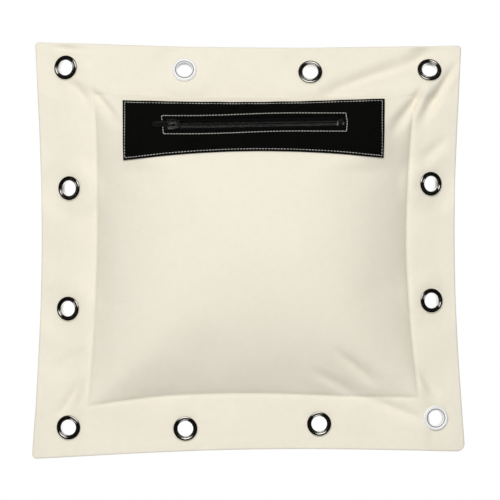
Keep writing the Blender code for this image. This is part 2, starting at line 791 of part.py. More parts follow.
def make_thread(name, points, collection, finish):
    """Closed thread through points, as a mesh."""
    curve = bpy.data.curves.new(name + "_path", "CURVE")
    curve.dimensions = "3D"
    curve.bevel_depth = THREAD / 2
    curve.bevel_resolution = 0
    path = curve.splines.new("POLY")
    path.points.add(len(points) - 1)
    for place, point in zip(path.points, points):
        place.co = (*point, 1)
    path.use_cyclic_u = True
    guide = bpy.data.objects.new(name + "_path", curve)
    collection.objects.link(guide)
    graph = bpy.context.evaluated_depsgraph_get()
    mesh = bpy.data.meshes.new_from_object(guide.evaluated_get(graph))
    mesh.name = name
    mesh.materials.clear()
    mesh.materials.append(finish)
    bpy.data.objects.remove(guide)
    bpy.data.curves.remove(curve)
    thread = bpy.data.objects.new(name, mesh)
    collection.objects.link(thread)
    return thread


def ring_steps(corners, step):
    """Points along a closed ring of straight runs, about a step apart."""
    points = []
    for start, end in zip(corners, corners[1:] + corners[:1]):
        start, end = Vector(start), Vector(end)
        count = max(1, round((end - start).length / step))
        points += [start.lerp(end, i / count) for i in range(count)]
    return points


def make_threads(collection, cream, grey):
    """Seam of the chamber, edge stitching of the patch and box of stitching round the zip."""
    above = CLEARANCE + THREAD / 2
    out = CHAMBER_THREAD_OUT
    left, right = SEAM["left"] - out, SEAM["right"] + out
    bottom, top = SEAM["bottom"] - out, SEAM["top"] + out
    ring = ring_steps(
        [(left, bottom), (right, bottom), (right, top), (left, top)], PILLOW_CELL / 2
    )
    points = [front_offset(*place, above) for place in ring]
    make_thread("chamber_seam_thread", points, collection, cream)

    ends = [Vector(patch_place(across, 0.5)) for across in (0, 1)]
    sides = [Vector(patch_place(0, up)) for up in (0, 1)]
    in_x = PATCH_STITCH_INSET / (ends[1] - ends[0]).length
    in_z = PATCH_STITCH_INSET / (sides[1] - sides[0]).length
    scale = (ends[1] - ends[0]).length / (sides[1] - sides[0]).length
    corners = [(in_x, in_z), (1 - in_x, in_z), (1 - in_x, 1 - in_z), (in_x, 1 - in_z)]
    wide = [(across * scale, up) for across, up in corners]
    ring = ring_steps(wide, STITCH_STEP / (sides[1] - sides[0]).length)
    points = [patch_point(place.x / scale, place.y, PATCH + above) for place in ring]
    make_thread("patch_seam_thread", points, collection, grey)

    end = WINDOW_LENGTH / 2 + ZIP_STITCH_OUT
    side = WINDOW_WIDTH / 2 + ZIP_STITCH_SIDE
    height = TAPE_FRONT + CLEARANCE + PATCH + above
    ring = [(-end, -side), (end, -side), (end, side), (-end, side)]
    points = [ZIP_FRAME @ Vector((*corner, height)) for corner in ring]
    make_thread("zip_seam_thread", points, collection, grey)


def main():
    for item in list(bpy.data.objects):
        bpy.data.objects.remove(item)
    bag = make_collection("wall_punching_bag")
    cutters = make_collection("cutters")
    finishes = {name: make_finish(name) for name in FINISHES}

    front, back = make_panels(bag, finishes["cream_canvas"])
    cut_slot(front, cutters)
    punch(bag, cutters, finishes["chrome"], (front, back))
    make_filling(bag, finishes["filling_felt"])
    make_patch(bag, cutters, finishes["black_cloth"])
    make_chain(bag, finishes["black_tape"], finishes["black_teeth"])
    make_stops(bag, finishes["black_enamel"])
    make_slider(bag, cutters, finishes["black_enamel"])
    make_pull(bag, cutters, finishes["black_enamel"])
    make_threads(bag, finishes["cream_thread"], finishes["grey_thread"])
    print(f"The slider travels {SLIDER_TRAVEL * 1000:.1f} mm")


main()
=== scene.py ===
"""Dresses the square wall punching bag: cream canvas, zipped black patch, twelve eyelets.

Metres, +Z up, +Y into the wall. Cut coordinates (cx, cz) are places on the flat-cut canvas,
measured from its middle, as a sewer would mark them before the bag is sewn and filled.
"""

import logging
import math
from contextlib import contextmanager
from dataclasses import dataclass, field
from enum import Enum
from typing import Callable, Iterator

import bmesh
import bpy
import numpy as np
from mathutils import Matrix, Vector

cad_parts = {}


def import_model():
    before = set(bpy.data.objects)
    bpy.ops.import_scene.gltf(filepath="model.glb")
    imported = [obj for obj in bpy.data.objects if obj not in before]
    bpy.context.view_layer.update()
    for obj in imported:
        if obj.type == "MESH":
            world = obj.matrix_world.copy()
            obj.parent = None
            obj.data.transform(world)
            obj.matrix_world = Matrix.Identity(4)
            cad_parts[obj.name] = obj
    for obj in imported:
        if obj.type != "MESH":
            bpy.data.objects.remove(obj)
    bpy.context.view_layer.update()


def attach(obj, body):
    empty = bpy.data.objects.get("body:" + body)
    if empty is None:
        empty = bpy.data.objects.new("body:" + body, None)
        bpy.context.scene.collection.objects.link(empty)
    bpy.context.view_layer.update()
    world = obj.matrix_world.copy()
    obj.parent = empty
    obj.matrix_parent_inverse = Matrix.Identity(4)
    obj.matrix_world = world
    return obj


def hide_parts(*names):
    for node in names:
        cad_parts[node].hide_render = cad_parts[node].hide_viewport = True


Array = np.ndarray
Piece = bpy.types.Object
Socket = bpy.types.NodeSocket
Place = tuple[float, float, float]
Colour = tuple[float, float, float]
Corners = dict[str, tuple[float, float]]
Section = list[tuple[float, float]]
Faces = list[tuple[int, ...]]
TINY = 1e-6
log = logging.getLogger("wall_bag")


class Side(Enum):
    """The four sides of the square bag, seen from the front."""

    LEFT = "left"
    RIGHT = "right"
    TOP = "top"
    BOTTOM = "bottom"


def by_side(left: object, right: object, top: object, bottom: object) -> dict:
    """One value for each side of the bag."""
    return {Side.LEFT: left, Side.RIGHT: right, Side.TOP: top, Side.BOTTOM: bottom}


def kept(values: dict) -> dict:
    """Dataclass field whose default is its own copy of a table."""
    return field(default_factory=lambda: dict(values))


class Plating(Enum):
    """How an eyelet is coloured: bright nickel, or on two of them a near-white colour that is a
    painted reflection of the bright light they show.
    """

    BRIGHT = "bright"
    SATIN = "painted_white"


# ---------------------------------------------------------------------------------------
# Small helpers for numbers, meshes and edit mode
# ---------------------------------------------------------------------------------------


def ease(value: Array | float) -> Array:
    """Ease from 0 to 1 as value goes from 0 to 1."""
    held = np.clip(value, 0.0, 1.0)
    return held * held * (3 - 2 * held)


def bell(value: Array, width: float) -> Array:
    """Bell curve of height 1 about 0."""
    return np.exp(-((value / width) ** 2))


def smooth_read(table: tuple[float, ...], low: float, place: Array, blur: float) -> Array:
    """Read a table of even steps from low to 1 at each place, averaged over a short blur."""
    steps = np.linspace(low, 1, len(table))
    return sum(np.interp(place + d, steps, table) for d in (-blur, 0, blur)) / 3


def corner_blend(corners: Corners, across: Array, up: Array) -> tuple[Array, Array]:
    """Blend the pairs held by four corners.

    Args:
        corners: a pair of numbers for each corner's name.
        across: place from left, 0, to right, 1.
        up: place from bottom, 0, to top, 1.

    Returns:
        The blended first and second numbers.
    """
    blended = []
    for k in (0, 1):
        low = corners["bottom_left"][k] * (1 - across) + corners["bottom_right"][k] * across
        high = corners["top_left"][k] * (1 - across) + corners["top_right"][k] * across
        blended.append(low * (1 - up) + high * up)
    return blended[0], blended[1]


def unit(vectors: Array) -> Array:
    """Vectors scaled to length 1."""
    return vectors / np.linalg.norm(vectors, axis=-1, keepdims=True)


def lines_through(stops: list[float], cell: float) -> Array:
    """Grid lines through every stop, with the gaps between filled at about one cell.

    Args:
        stops: places that must hold a line.
        cell: widest gap between two lines.

    Returns:
        The sorted lines.
    """
    marks = sorted(stops)
    lines = [marks[0]]
    for stop in marks[1:]:
        count = max(1, math.ceil((stop - lines[-1]) / cell - 0.25))
        lines += list(np.linspace(lines[-1], stop, count + 1)[1:])
    return np.array(lines)


def grid_places(columns: Array, rows: Array) -> tuple[Array, Array]:
    """Every place of a grid, column by column, each from its bottom row up."""
    across, up = np.meshgrid(columns, rows, indexing="ij")
    return across.ravel(), up.ravel()


def grid_faces(columns: int, rows: int, turned: bool = False) -> Faces:
    """Quads of a grid whose points run column by column, each from its bottom row up."""
    faces = []
    for i in range(columns - 1):
        for j in range(rows - 1):
            a = i * rows + j
            quad = (a, a + rows, a + rows + 1, a + 1)
            faces.append(quad[::-1] if turned else quad)
    return faces


def add_mesh(name: str, points: Array, faces: Faces, uv: Array | None = None) -> Piece:
    """Object from points and faces, with a UV map where one is given.

    Args:
        name: name of the object and its mesh.
        points: places of the points, one row each.
        faces: point numbers of each face.
        uv: map coordinates of each point.

    Returns:
        The new object, shaded smooth.
    """
    mesh = bpy.data.meshes.new(name)
    mesh.from_pydata([tuple(p) for p in points], [], faces)
    if uv is not None:
        layer = mesh.uv_layers.new(name="cut")
        corners = np.empty(len(mesh.loops), dtype=np.int32)
        mesh.loops.foreach_get("vertex_index", corners)
        layer.data.foreach_set("uv", uv[corners].astype(np.float32).ravel())
    mesh.shade_smooth()
    item = bpy.data.objects.new(name, mesh)
    bpy.context.scene.collection.objects.link(item)
    return item


def add_copies(name: str, copies: list[Array], faces: Faces) -> Piece:
    """One mesh from copies of a shape, each given by its own points."""
    size = len(copies[0])
    repeated = [tuple(i + k * size for i in face) for k in range(len(copies)) for face in faces]
    return add_mesh(name, np.concatenate(copies), repeated)


def primitive(name: str, add: Callable, **settings: object) -> Piece:
    """Add one of Blender's plain shapes under a name."""
    bpy.ops.object.select_all(action="DESELECT")
    add(**settings)
    item = bpy.context.object
    item.name = item.data.name = name
    return item


def pick(item: Piece) -> None:
    """Make one object the only one selected, and the active one."""
    bpy.ops.object.select_all(action="DESELECT")
    item.select_set(True)
    bpy.context.view_layer.objects.active = item


@contextmanager
def shaping(item: Piece) -> Iterator[None]:
    """Edit mode on one object, with all of it selected."""
    pick(item)
    bpy.ops.object.mode_set(mode="EDIT")
    bpy.ops.mesh.select_all(action="SELECT")
    yield
    bmesh.update_edit_mesh(item.data)
    bpy.ops.object.mode_set(mode="OBJECT")


def resize(size: Place, centre: Place = (0, 0, 0)) -> None:
    """Scale what is selected in edit mode about a centre."""
    bpy.ops.transform.resize(value=size, center_override=centre)


def box(name: str, size: Place) -> Piece:
    """Plain box of a size about its own origin."""
    item = primitive(name, bpy.ops.mesh.primitive_cube_add, size=1)
    with shaping(item):
        resize(size)
    return item


def slice_across(*places: float) -> None:
    """Cut the mesh in edit mode across X at each place."""
    for place in places:
        bpy.ops.mesh.select_all(action="SELECT")
        bpy.ops.mesh.bisect(plane_co=(place, 0, 0), plane_no=(1, 0, 0))


def choose(item: Piece, kind: str, test: Callable) -> None:
    """Select the points, edges or faces that pass a test, and nothing else.

    Args:
        item: the object in edit mode.
        kind: verts, edges or faces.
        test: says whether an element is selected.
    """
    bpy.ops.mesh.select_all(action="DESELECT")
    mode = {"verts": "VERT", "edges": "EDGE", "faces": "FACE"}[kind]
    bpy.ops.mesh.select_mode(type=mode)
    bm = bmesh.from_edit_mesh(item.data)
    for element in getattr(bm, kind):
        if test(element):
            element.select_set(True)
    bm.select_flush_mode()


def round_off(item: Piece, test: Callable, radius: float, segments: int = 3) -> None:
    """Round the edges that pass a test, in edit mode."""
    choose(item, "edges", test)
    bpy.ops.mesh.bevel(offset=radius, segments=segments, affect="EDGES")


def upright(edge: bmesh.types.BMEdge) -> bool:
    """True for an edge that runs along Z."""
    return (edge.verts[0].co - edge.verts[1].co).normalized().z ** 2 > 0.9


def sharp(edge: bmesh.types.BMEdge) -> bool:
    """True for an edge where two faces meet at an angle."""
    return len(edge.link_faces) == 2 and edge.calc_face_angle(0) > 0.8


def run_modifier(item: Piece, kind: str, **settings: object) -> None:
    """Add a modifier with its settings, and apply it.

    Args:
        item: the object to change.
        kind: the modifier's type.
        **settings: its properties.
    """
    modifier = item.modifiers.new(kind.lower(), kind)
    for name, value in settings.items():
        setattr(modifier, name, value)
    pick(item)
    bpy.ops.object.modifier_apply(modifier=modifier.name)


def thicken(item: Piece, thickness: float) -> None:
    """Drop a sheet's loose points, and give it its thickness behind its front face."""
    with shaping(item):
        bpy.ops.mesh.delete_loose()
    run_modifier(item, "SOLIDIFY", thickness=thickness, offset=-1.0)
    item.data.shade_smooth()


def settle(item: Piece, matrix: Matrix) -> None:
    """Put a shape made about its own origin in its place, with the object left at the origin."""
    item.data.transform(matrix @ item.matrix_basis)
    item.matrix_basis = Matrix()
    item.data.update()


def twin(item: Piece, name: str, matrix: Matrix) -> Piece:
    """Copy of an object with its own mesh, put in its place by a matrix."""
    copy = bpy.data.objects.new(name, item.data.copy())
    copy.data.name = name
    bpy.context.scene.collection.objects.link(copy)
    copy.data.transform(matrix)
    return copy


def discard(item: Piece) -> tuple[Array, Faces]:
    """Remove a master shape, and give its points and faces for its copies."""
    points = np.array([v.co for v in item.data.vertices])
    faces = [tuple(p.vertices) for p in item.data.polygons]
    bpy.data.objects.remove(item)
    return points, faces


# ---------------------------------------------------------------------------------------
# The sewn and filled canvas
# ---------------------------------------------------------------------------------------


@dataclass(frozen=True)
class Crease:
    """One fold line in the canvas: a soft valley, or a ridge where its rise is above 0."""

    start: tuple[float, float]
    end: tuple[float, float]
    rise: float
    width: float
    roll: float = 0.0

    def height(self, cx: Array, cz: Array) -> Array:
        """Height that the fold adds at each place.

        Args:
            cx: places across, in cut coordinates.
            cz: places up.

        Returns:
            The heights, above 0 towards the viewer.
        """
        run = np.array(self.end) - np.array(self.start)
        length = float(np.hypot(*run))
        along = ((cx - self.start[0]) * run[0] + (cz - self.start[1]) * run[1]) / length**2
        off = ((cx - self.start[0]) * run[1] - (cz - self.start[1]) * run[0]) / length
        spread = self.width * (0.75 + 0.5 * np.clip(along, 0, 1))
        share = ease(along / 0.42) * ease((1 - along) / 0.45)
        return share * np.exp(-((off / spread) ** 2)) * (self.rise + self.roll * off / spread)


@dataclass
class Pattern:
    """The bag's canvas as it is cut, and the way that sewing and filling shape it."""

    width: float = 0.402
    height: float = 0.386
    corner_pull: Corners = kept(
        {
            "top_left": (-0.0003, 0.0035),
            "top_right": (-0.0002, 0.0003),
            "bottom_right": (0.0030, 0.0037),
            "bottom_left": (-0.0031, -0.0034),
        }
    )
    corner_radius: dict[str, float] = kept(
        {"top_left": 0.0035, "top_right": 0.0035, "bottom_right": 0.0080, "bottom_left": 0.0050}
    )
    bow: dict[Side, float] = kept(by_side(0.0080, 0.0084, 0.0039, 0.0060))
    flange: dict[Side, float] = kept(by_side(0.052, 0.046, 0.048, 0.051))
    lean_degrees: dict[Side, float] = kept(by_side(11, 11, 9, 2))
    lean_rounding: float = 0.003
    # How far the filling draws each side of the seam inward, at even steps from its low end
    draw: dict[Side, tuple[float, ...]] = kept(
        by_side(
            left=(-0.0018, 0.0005, 0.0020, 0.0029, 0.0028),
            right=(-0.0052, -0.0009, 0.0016, 0.0, -0.0030),
            top=(0.0, 0.0008, 0.0),
            bottom=(-0.0042, 0.0002, 0.0030, 0.0031, 0.0030, 0.0018, 0.0003, -0.0007, 0.0004),
        )
    )
    draw_outside: float = 0.020
    draw_inside: float = 0.045
    # Slopes, to the right and upward, by which the cloth round an eyelet leans back further,
    # and the run over which that fades
    tilts: dict[str, Place] = kept(
        {
            "top_left": (-0.18, -0.08, 0.020),
            "top_centre_left": (0.0, 0.20, 0.020),
            "top_centre_right": (0.0, 0.20, 0.020),
            "top_right": (-0.10, 0.33, 0.018),
            "right_upper": (0.27, 0.0, 0.020),
            "right_lower": (0.18, 0.0, 0.020),
            "left_lower": (-0.20, 0.0, 0.020),
            "left_upper": (-0.26, 0.0, 0.020),
        }
    )
    # How far in from each edge the eyelets' lines run, and how far off its mark each is punched
    inset: dict[Side, float] = kept(by_side(0.0290, 0.0263, 0.0233, 0.0275))
    punched: Corners = kept(
        {
            "top_left": (-0.0008, 0.0002),
            "top_centre_left": (-0.0039, 0.0008),
            "top_centre_right": (-0.0004, -0.0006),
            "top_right": (-0.0032, 0.0),
            "right_upper": (0.0021, 0.0034),
            "right_lower": (0.0022, 0.0041),
            "bottom_right": (0.0007, 0.0040),
            "bottom_centre_right": (0.0069, -0.0031),
            "bottom_centre_left": (-0.0023, -0.0058),
            "bottom_left": (0.0039, 0.0003),
            "left_lower": (-0.0018, -0.0007),
            "left_upper": (-0.0013, -0.0004),
        }
    )
    clamp: float = 0.0118
    clamp_fade: float = 0.005
    canvas: float = 0.0012
    between: float = 0.0003
    crown: float = 0.044
    # How sharply the crown falls to each side of the seam, at even steps from its low end
    crown_power: dict[Side, tuple[float, ...]] = kept(
        by_side(
            left=(2.0, 2.4, 2.8, 3.0),
            right=(2.6, 2.8, 2.8, 3.3),
            top=(2.8, 2.8, 2.8),
            bottom=(3.2, 2.15, 2.1, 2.5),
        )
    )
    shoulder: float = 0.0030
    shoulder_run: float = 0.024
    crown_fullness: float = 0.85
    ridge_share: float = 0.6
    ridge_rounding: float = 0.11
    back_depth: float = 0.018
    back_run: float = 0.035
    foot: float = 0.007
    zip_x: float = 0.0070
    zip_drop: float = 0.0267
    zip_sink: float = 0.0015
    zip_tilt: float = math.radians(1.2)
    tape_length: float = 0.174
    tape_reach: float = 0.0135
    flat_margin: float = 0.0080
    flat_fade: float = 0.036
    hem: float = 0.0090
    foot_of_flange: float = 0.012
    groove_out: float = 0.0005
    groove_width: float = 0.0018
    creases: tuple[Crease, ...] = (
        Crease((-0.1570, 0.1545), (-0.1225, 0.1145), -0.0070, 0.0044, 0.0028),
        Crease((-0.1745, 0.1640), (-0.1500, 0.1290), -0.0052, 0.0048, 0.0018),
        Crease((-0.190, 0.1890), (-0.144, 0.1840), -0.0050, 0.0040),
        Crease((0.054, 0.1400), (0.188, 0.1865), -0.0070, 0.0080, 0.0040),
        Crease((0.1700, 0.1620), (0.1280, 0.1010), -0.0072, 0.0056, 0.0028),
        Crease((0.202, 0.183), (0.161, 0.111), -0.0072, 0.0050, -0.0026),
        Crease((0.176, 0.164), (0.146, 0.112), 0.0020, 0.0056),
        Crease((0.197, 0.110), (0.157, 0.072), -0.0030, 0.0060),
        Crease((0.0767, -0.0930), (0.1267, -0.1370), -0.0036, 0.0052, 0.0026),
        Crease((0.0535, -0.1150), (0.1150, -0.1480), -0.0030, 0.0058, 0.0016),
        Crease((0.104, -0.1400), (0.168, -0.1710), -0.0040, 0.0050, 0.0020),
        Crease((0.153, -0.108), (0.187, -0.146), -0.0032, 0.0050, -0.0016),
        Crease((-0.154, -0.112), (-0.184, -0.160), -0.0050, 0.0062, 0.0024),
        Crease((-0.156, -0.086), (-0.190, -0.122), -0.0026, 0.0075, 0.0012),
    )

    def __post_init__(self) -> None:
        """Work out the seam, the zip's plane and the eyelets' places."""
        self.edge = by_side(-self.width / 2, self.width / 2, self.height / 2, -self.height / 2)
        inward = by_side(1, -1, -1, 1)
        self.seam = {side: at + inward[side] * self.flange[side] for side, at in self.edge.items()}
        self.holes = self.eyelets()
        self.two_layers = 2 * self.canvas + self.between
        self.seam_y = -(self.back_depth + self.two_layers)
        self.zip_z = self.seam[Side.TOP] - self.zip_drop
        step = 0.001
        above, below = (self.plain_crown(self.zip_x, self.zip_z + s) for s in (step, -step))
        self.zip_height = float(self.plain_crown(self.zip_x, self.zip_z)) - self.zip_sink
        self.zip_slope = float(below - above) / (2 * step)
        self.zip_cos = 1 / math.hypot(1, self.zip_slope)
        sin = self.zip_slope * self.zip_cos
        x, z = self.sewn(self.zip_x, self.zip_z)
        self.zip_centre = Vector((float(x), self.seam_y - self.zip_height, float(z)))
        turn = Matrix(((1, 0, 0), (0, sin, -self.zip_cos), (0, self.zip_cos, sin))).to_4x4()
        turn = turn @ Matrix.Rotation(self.zip_tilt, 4, "Z")
        self.zip_frame = Matrix.Translation(self.zip_centre) @ turn
        self.swell: Callable[[Array, Array], Array] | None = None

    def sewn(self, cx: Array, cz: Array) -> tuple[Array, Array]:
        """World x and z of cut places: corners pulled, and edges bowed in by the filling."""
        across = cx / self.width + 0.5
        up = cz / self.height + 0.5
        right, lift = corner_blend(self.corner_pull, across, up)
        inward = self.bow[Side.LEFT] * (1 - across) - self.bow[Side.RIGHT] * across
        upward = self.bow[Side.BOTTOM] * (1 - up) - self.bow[Side.TOP] * up
        x = cx + right + np.sin(np.pi * up) * inward
        z = cz + lift + np.sin(np.pi * across) * upward
        return x, z

    def drawn(self, cx: Array, cz: Array) -> tuple[Array, Array]:
        """How far the filling draws the cloth about each side of the seam, right and up."""
        seam = self.seam
        across = np.clip((cx - seam[Side.LEFT]) / (seam[Side.RIGHT] - seam[Side.LEFT]), 0, 1)
        up = np.clip((cz - seam[Side.BOTTOM]) / (seam[Side.TOP] - seam[Side.BOTTOM]), 0, 1)
        moves = {}
        for side, place, inside in (
            (Side.LEFT, up, cx - seam[Side.LEFT]),
            (Side.RIGHT, up, seam[Side.RIGHT] - cx),
            (Side.BOTTOM, across, cz - seam[Side.BOTTOM]),
            (Side.TOP, across, seam[Side.TOP] - cz),
        ):
            reach = np.where(inside < 0, self.draw_outside, self.draw_inside)
            drawn = smooth_read(self.draw[side], 0, place, 0.05)
            moves[side] = drawn * (1 - ease(np.abs(inside) / reach))
        return moves[Side.LEFT] - moves[Side.RIGHT], moves[Side.BOTTOM] - moves[Side.TOP]

    def lean(self, cx: Array, cz: Array) -> Array:
        """How far the flange has leaned back outside the seam, with each eyelet's own tilt."""
        past = by_side(
            left=self.seam[Side.LEFT] - cx,
            right=cx - self.seam[Side.RIGHT],
            top=cz - self.seam[Side.TOP],
            bottom=self.seam[Side.BOTTOM] - cz,
        )
        leaned = 0.0
        for side, distance in past.items():
            softened = self.lean_rounding * np.logaddexp(0, distance / self.lean_rounding)
            leaned = leaned + math.tan(math.radians(self.lean_degrees[side])) * softened
        for name, (to_right, upward, fade) in self.tilts.items():
            right, up = cx - self.holes[name][0], cz - self.holes[name][1]
            near = 1 - ease((np.hypot(right, up) - 0.0135) / fade)
            leaned = leaned + (to_right * right + upward * up) * near
        return leaned

    def inside(self, cx: Array, cz: Array) -> Array:
        """Distance inside the nearest side of the seam, below 0 on the flange."""
        seam = self.seam
        nearest = np.minimum(cx - seam[Side.LEFT], seam[Side.RIGHT] - cx)
        return np.minimum(nearest, np.minimum(cz - seam[Side.BOTTOM], seam[Side.TOP] - cz))

    def fall(self, share: Array, along: Array, low: Side, high: Side) -> Array:
        """Share of the crown's height that is left towards the seam.

        Args:
            share: place between two sides of the seam, -1 at the low one and 1 at the high one.
            along: place along those sides, -1 to 1.
            low: the side at -1.
            high: the side at 1.

        Returns:
            1 in the middle of the pillow, falling to 0 at the seam.
        """
        powers = {s: smooth_read(self.crown_power[s], -1, along, 0.1) for s in (low, high)}
        power = np.where(share > 0, powers[high], powers[low])
        return 1 - np.minimum(np.abs(share), 1) ** power

    def plain_crown(self, cx: Array, cz: Array) -> Array:
        """Height of the filled crown before the zip flattens it, with ridges to its corners."""
        seam = self.seam
        right, top = (
            (2 * value - seam[low] - seam[high]) / (seam[high] - seam[low])
            for value, low, high in ((cx, Side.LEFT, Side.RIGHT), (cz, Side.BOTTOM, Side.TOP))
        )
        across = self.fall(right, top, Side.LEFT, Side.RIGHT)
        up = self.fall(top, right, Side.BOTTOM, Side.TOP)
        ridge = across + up + np.hypot(across - up, self.ridge_rounding)
        ridge = ridge / (2 + self.ridge_rounding)
        crown = self.crown * (across * up / ridge**self.ridge_share) ** self.crown_fullness
        lower = np.clip(up, 0, 1) * (1 - ease((top + 0.1) / 0.6)) * ease((1 - right) / 0.8)
        return crown + self.shoulder * ease((cx - seam[Side.LEFT]) / self.shoulder_run) * lower

    def held_by_tape(self, x: Array, z: Array, fade: float) -> Array:
        """1 where the zip's tapes hold the canvas flat, and 0 past the faded border."""
        past_end = (np.abs(x - self.zip_centre.x) - self.tape_length / 2 - self.flat_margin) / fade
        past_side = np.abs(z - self.zip_centre.z) / self.zip_cos - self.tape_reach
        past_side = (past_side - self.flat_margin / 2) / fade
        return (1 - ease(past_end)) * (1 - ease(past_side))

    def eyelets(self) -> dict[str, tuple[float, float]]:
        """Where each eyelet's hole was punched, in cut coordinates."""
        left = self.edge[Side.LEFT] + self.inset[Side.LEFT]
        right = self.edge[Side.RIGHT] - self.inset[Side.RIGHT]
        bottom = self.edge[Side.BOTTOM] + self.inset[Side.BOTTOM]
        top = self.edge[Side.TOP] - self.inset[Side.TOP]
        marks = {}
        for i, column in enumerate(("left", "centre_left", "centre_right", "right")):
            cx = left + (right - left) * i / 3
            marks["top_" + column] = (cx, top)
            marks["bottom_" + column] = (cx, bottom)
        for i, row in enumerate(("lower", "upper"), 1):
            cz = bottom + (top - bottom) * i / 3
            marks["left_" + row] = (left, cz)
            marks["right_" + row] = (right, cz)
        return {n: (marks[n][0] + dx, marks[n][1] + dz) for n, (dx, dz) in self.punched.items()}

    def rounded(self, cx: Array, cz: Array) -> tuple[Array, Array]:
        """Cut places moved so that the canvas's four corners are round."""
        for name, radius in self.corner_radius.items():
            sign_x = 1 if "right" in name else -1
            sign_z = 1 if "top" in name else -1
            s = (sign_x * cx - self.width / 2) / radius + 1
            t = (sign_z * cz - self.height / 2) / radius + 1
            near = (s > 0) & (t > 0)
            s_in, t_in = np.clip(s, 0, 1), np.clip(t, 0, 1)
            new_s = s_in * np.sqrt(1 - t_in**2 / 2)
            new_t = t_in * np.sqrt(1 - s_in**2 / 2)
            cx = np.where(near, sign_x * (self.width / 2 + (new_s - 1) * radius), cx)
            cz = np.where(near, sign_z * (self.height / 2 + (new_t - 1) * radius), cz)
        return cx, cz

    def edge_distance(self, cx: Array, cz: Array) -> Array:
        """Distance from the nearest cut edge."""
        return np.minimum(self.width / 2 - np.abs(cx), self.height / 2 - np.abs(cz))

    def ripples(self, cx: Array, cz: Array) -> Array:
        """Waves, folds and puckers that both panels share on the flange."""
        wave = 0.00045 * np.sin(cx * 71 + 1.3) * np.sin(cz * 63 + 0.4)
        wave += 0.00030 * np.sin(cx * 118 - cz * 47 + 2.1) + 0.00025 * np.sin(cz * 131 + cx * 39)
        away = np.ones_like(cx)
        pucker = np.zeros_like(cx)
        for k, (px, pz) in enumerate(self.holes.values()):
            right, up = cx - px, cz - pz
            reach = np.hypot(right, up)
            away = np.minimum(away, ease((reach - 0.013) / 0.017))
            turn = np.arctan2(up, right)
            lobes = np.cos((7 + k % 3) * turn + 1.7 * k) * 0.00018
            rise = ease((reach - self.clamp) / 0.003)
            pucker += lobes * rise * (1 - ease((reach - 0.014) / 0.009))
            pucker -= 0.00035 * (1 - ease((reach - 0.0112) / 0.0065))
        return wave * away + pucker

    def folds(self, cx: Array, cz: Array) -> Array:
        """Fold lines near the four corners, flat where an eyelet clamps the canvas."""
        clamped = np.ones_like(cx)
        for px, pz in self.holes.values():
            off = (np.hypot(cx - px, cz - pz) - self.clamp) / self.clamp_fade
            clamped = np.minimum(clamped, ease(off))
        return clamped * sum(crease.height(cx, cz) for crease in self.creases)

    def front(self, cx: Array, cz: Array) -> Array:
        """Places on the front panel's outer face.

        Args:
            cx: places across, in cut coordinates.
            cz: places up.

        Returns:
            World places, three numbers each.
        """
        sewn_x, sewn_z = self.sewn(cx, cz)
        right, up = self.drawn(cx, cz)
        x, z = sewn_x + right, sewn_z + up
        inside = self.inside(cx, cz)
        crown = self.plain_crown(cx, cz)
        if self.swell is not None:
            crown = crown + self.swell(cx, cz)
        on_flange = 1 - ease(inside / self.foot_of_flange)
        room = np.maximum(crown, 0) + self.back_depth - self.back_reach(inside)
        folds = self.folds(cx, cz)
        own = np.maximum(folds * (1 - on_flange), -0.65 * room)
        crown = crown + own + (folds + self.ripples(cx, cz)) * on_flange
        flat = self.zip_height - (z - self.zip_centre.z) * self.zip_slope
        held = self.held_by_tape(sewn_x, sewn_z, self.flat_fade) * ease(inside / self.foot)
        crown = crown + (flat - crown) * held
        crown = crown - 0.0005 * bell(inside + self.groove_out, self.groove_width)
        return np.stack([x, self.seam_y + self.lean(cx, cz) - crown, z], axis=-1)

    def front_normal(self, cx: Array, cz: Array) -> Array:
        """Outward directions of the front panel's face."""
        step = 0.0006
        across = self.front(cx + step, cz) - self.front(cx - step, cz)
        up = self.front(cx, cz + step) - self.front(cx, cz - step)
        return unit(np.cross(across, up))

    def back_reach(self, inside: Array) -> Array:
        """How far the back panel stands off the wall, by its distance inside the seam."""
        left = 10 * (1 - np.maximum(inside, 0) / self.back_run)
        return self.back_depth * np.minimum(np.logaddexp(0, left) / 10, 1)

    def back(self, cx: Array, cz: Array) -> Array:
        """Places on the back panel's rear face."""
        sewn_x, sewn_z = self.sewn(cx, cz)
        right, up = self.drawn(cx, cz)
        inside = self.inside(cx, cz)
        depth = self.back_reach(inside)
        on_flange = 1 - ease(inside / self.foot_of_flange)
        shared = (self.ripples(cx, cz) + self.folds(cx, cz)) * on_flange
        groove = 0.0004 * bell(inside + self.groove_out, self.groove_width)
        y = self.lean(cx, cz) - depth - shared - groove
        return np.stack([sewn_x + right, np.minimum(y, 0.0), sewn_z + up], axis=-1)

    def turned_in(self, edge: Array) -> Array:
        """How far the face curves back to the flange's middle near its turned edge."""
        radius = self.two_layers / 2
        gap = np.clip(radius - edge, 0, radius)
        return radius - np.sqrt(radius**2 - gap**2)


# ---------------------------------------------------------------------------------------
# Node groups and finishes
# ---------------------------------------------------------------------------------------


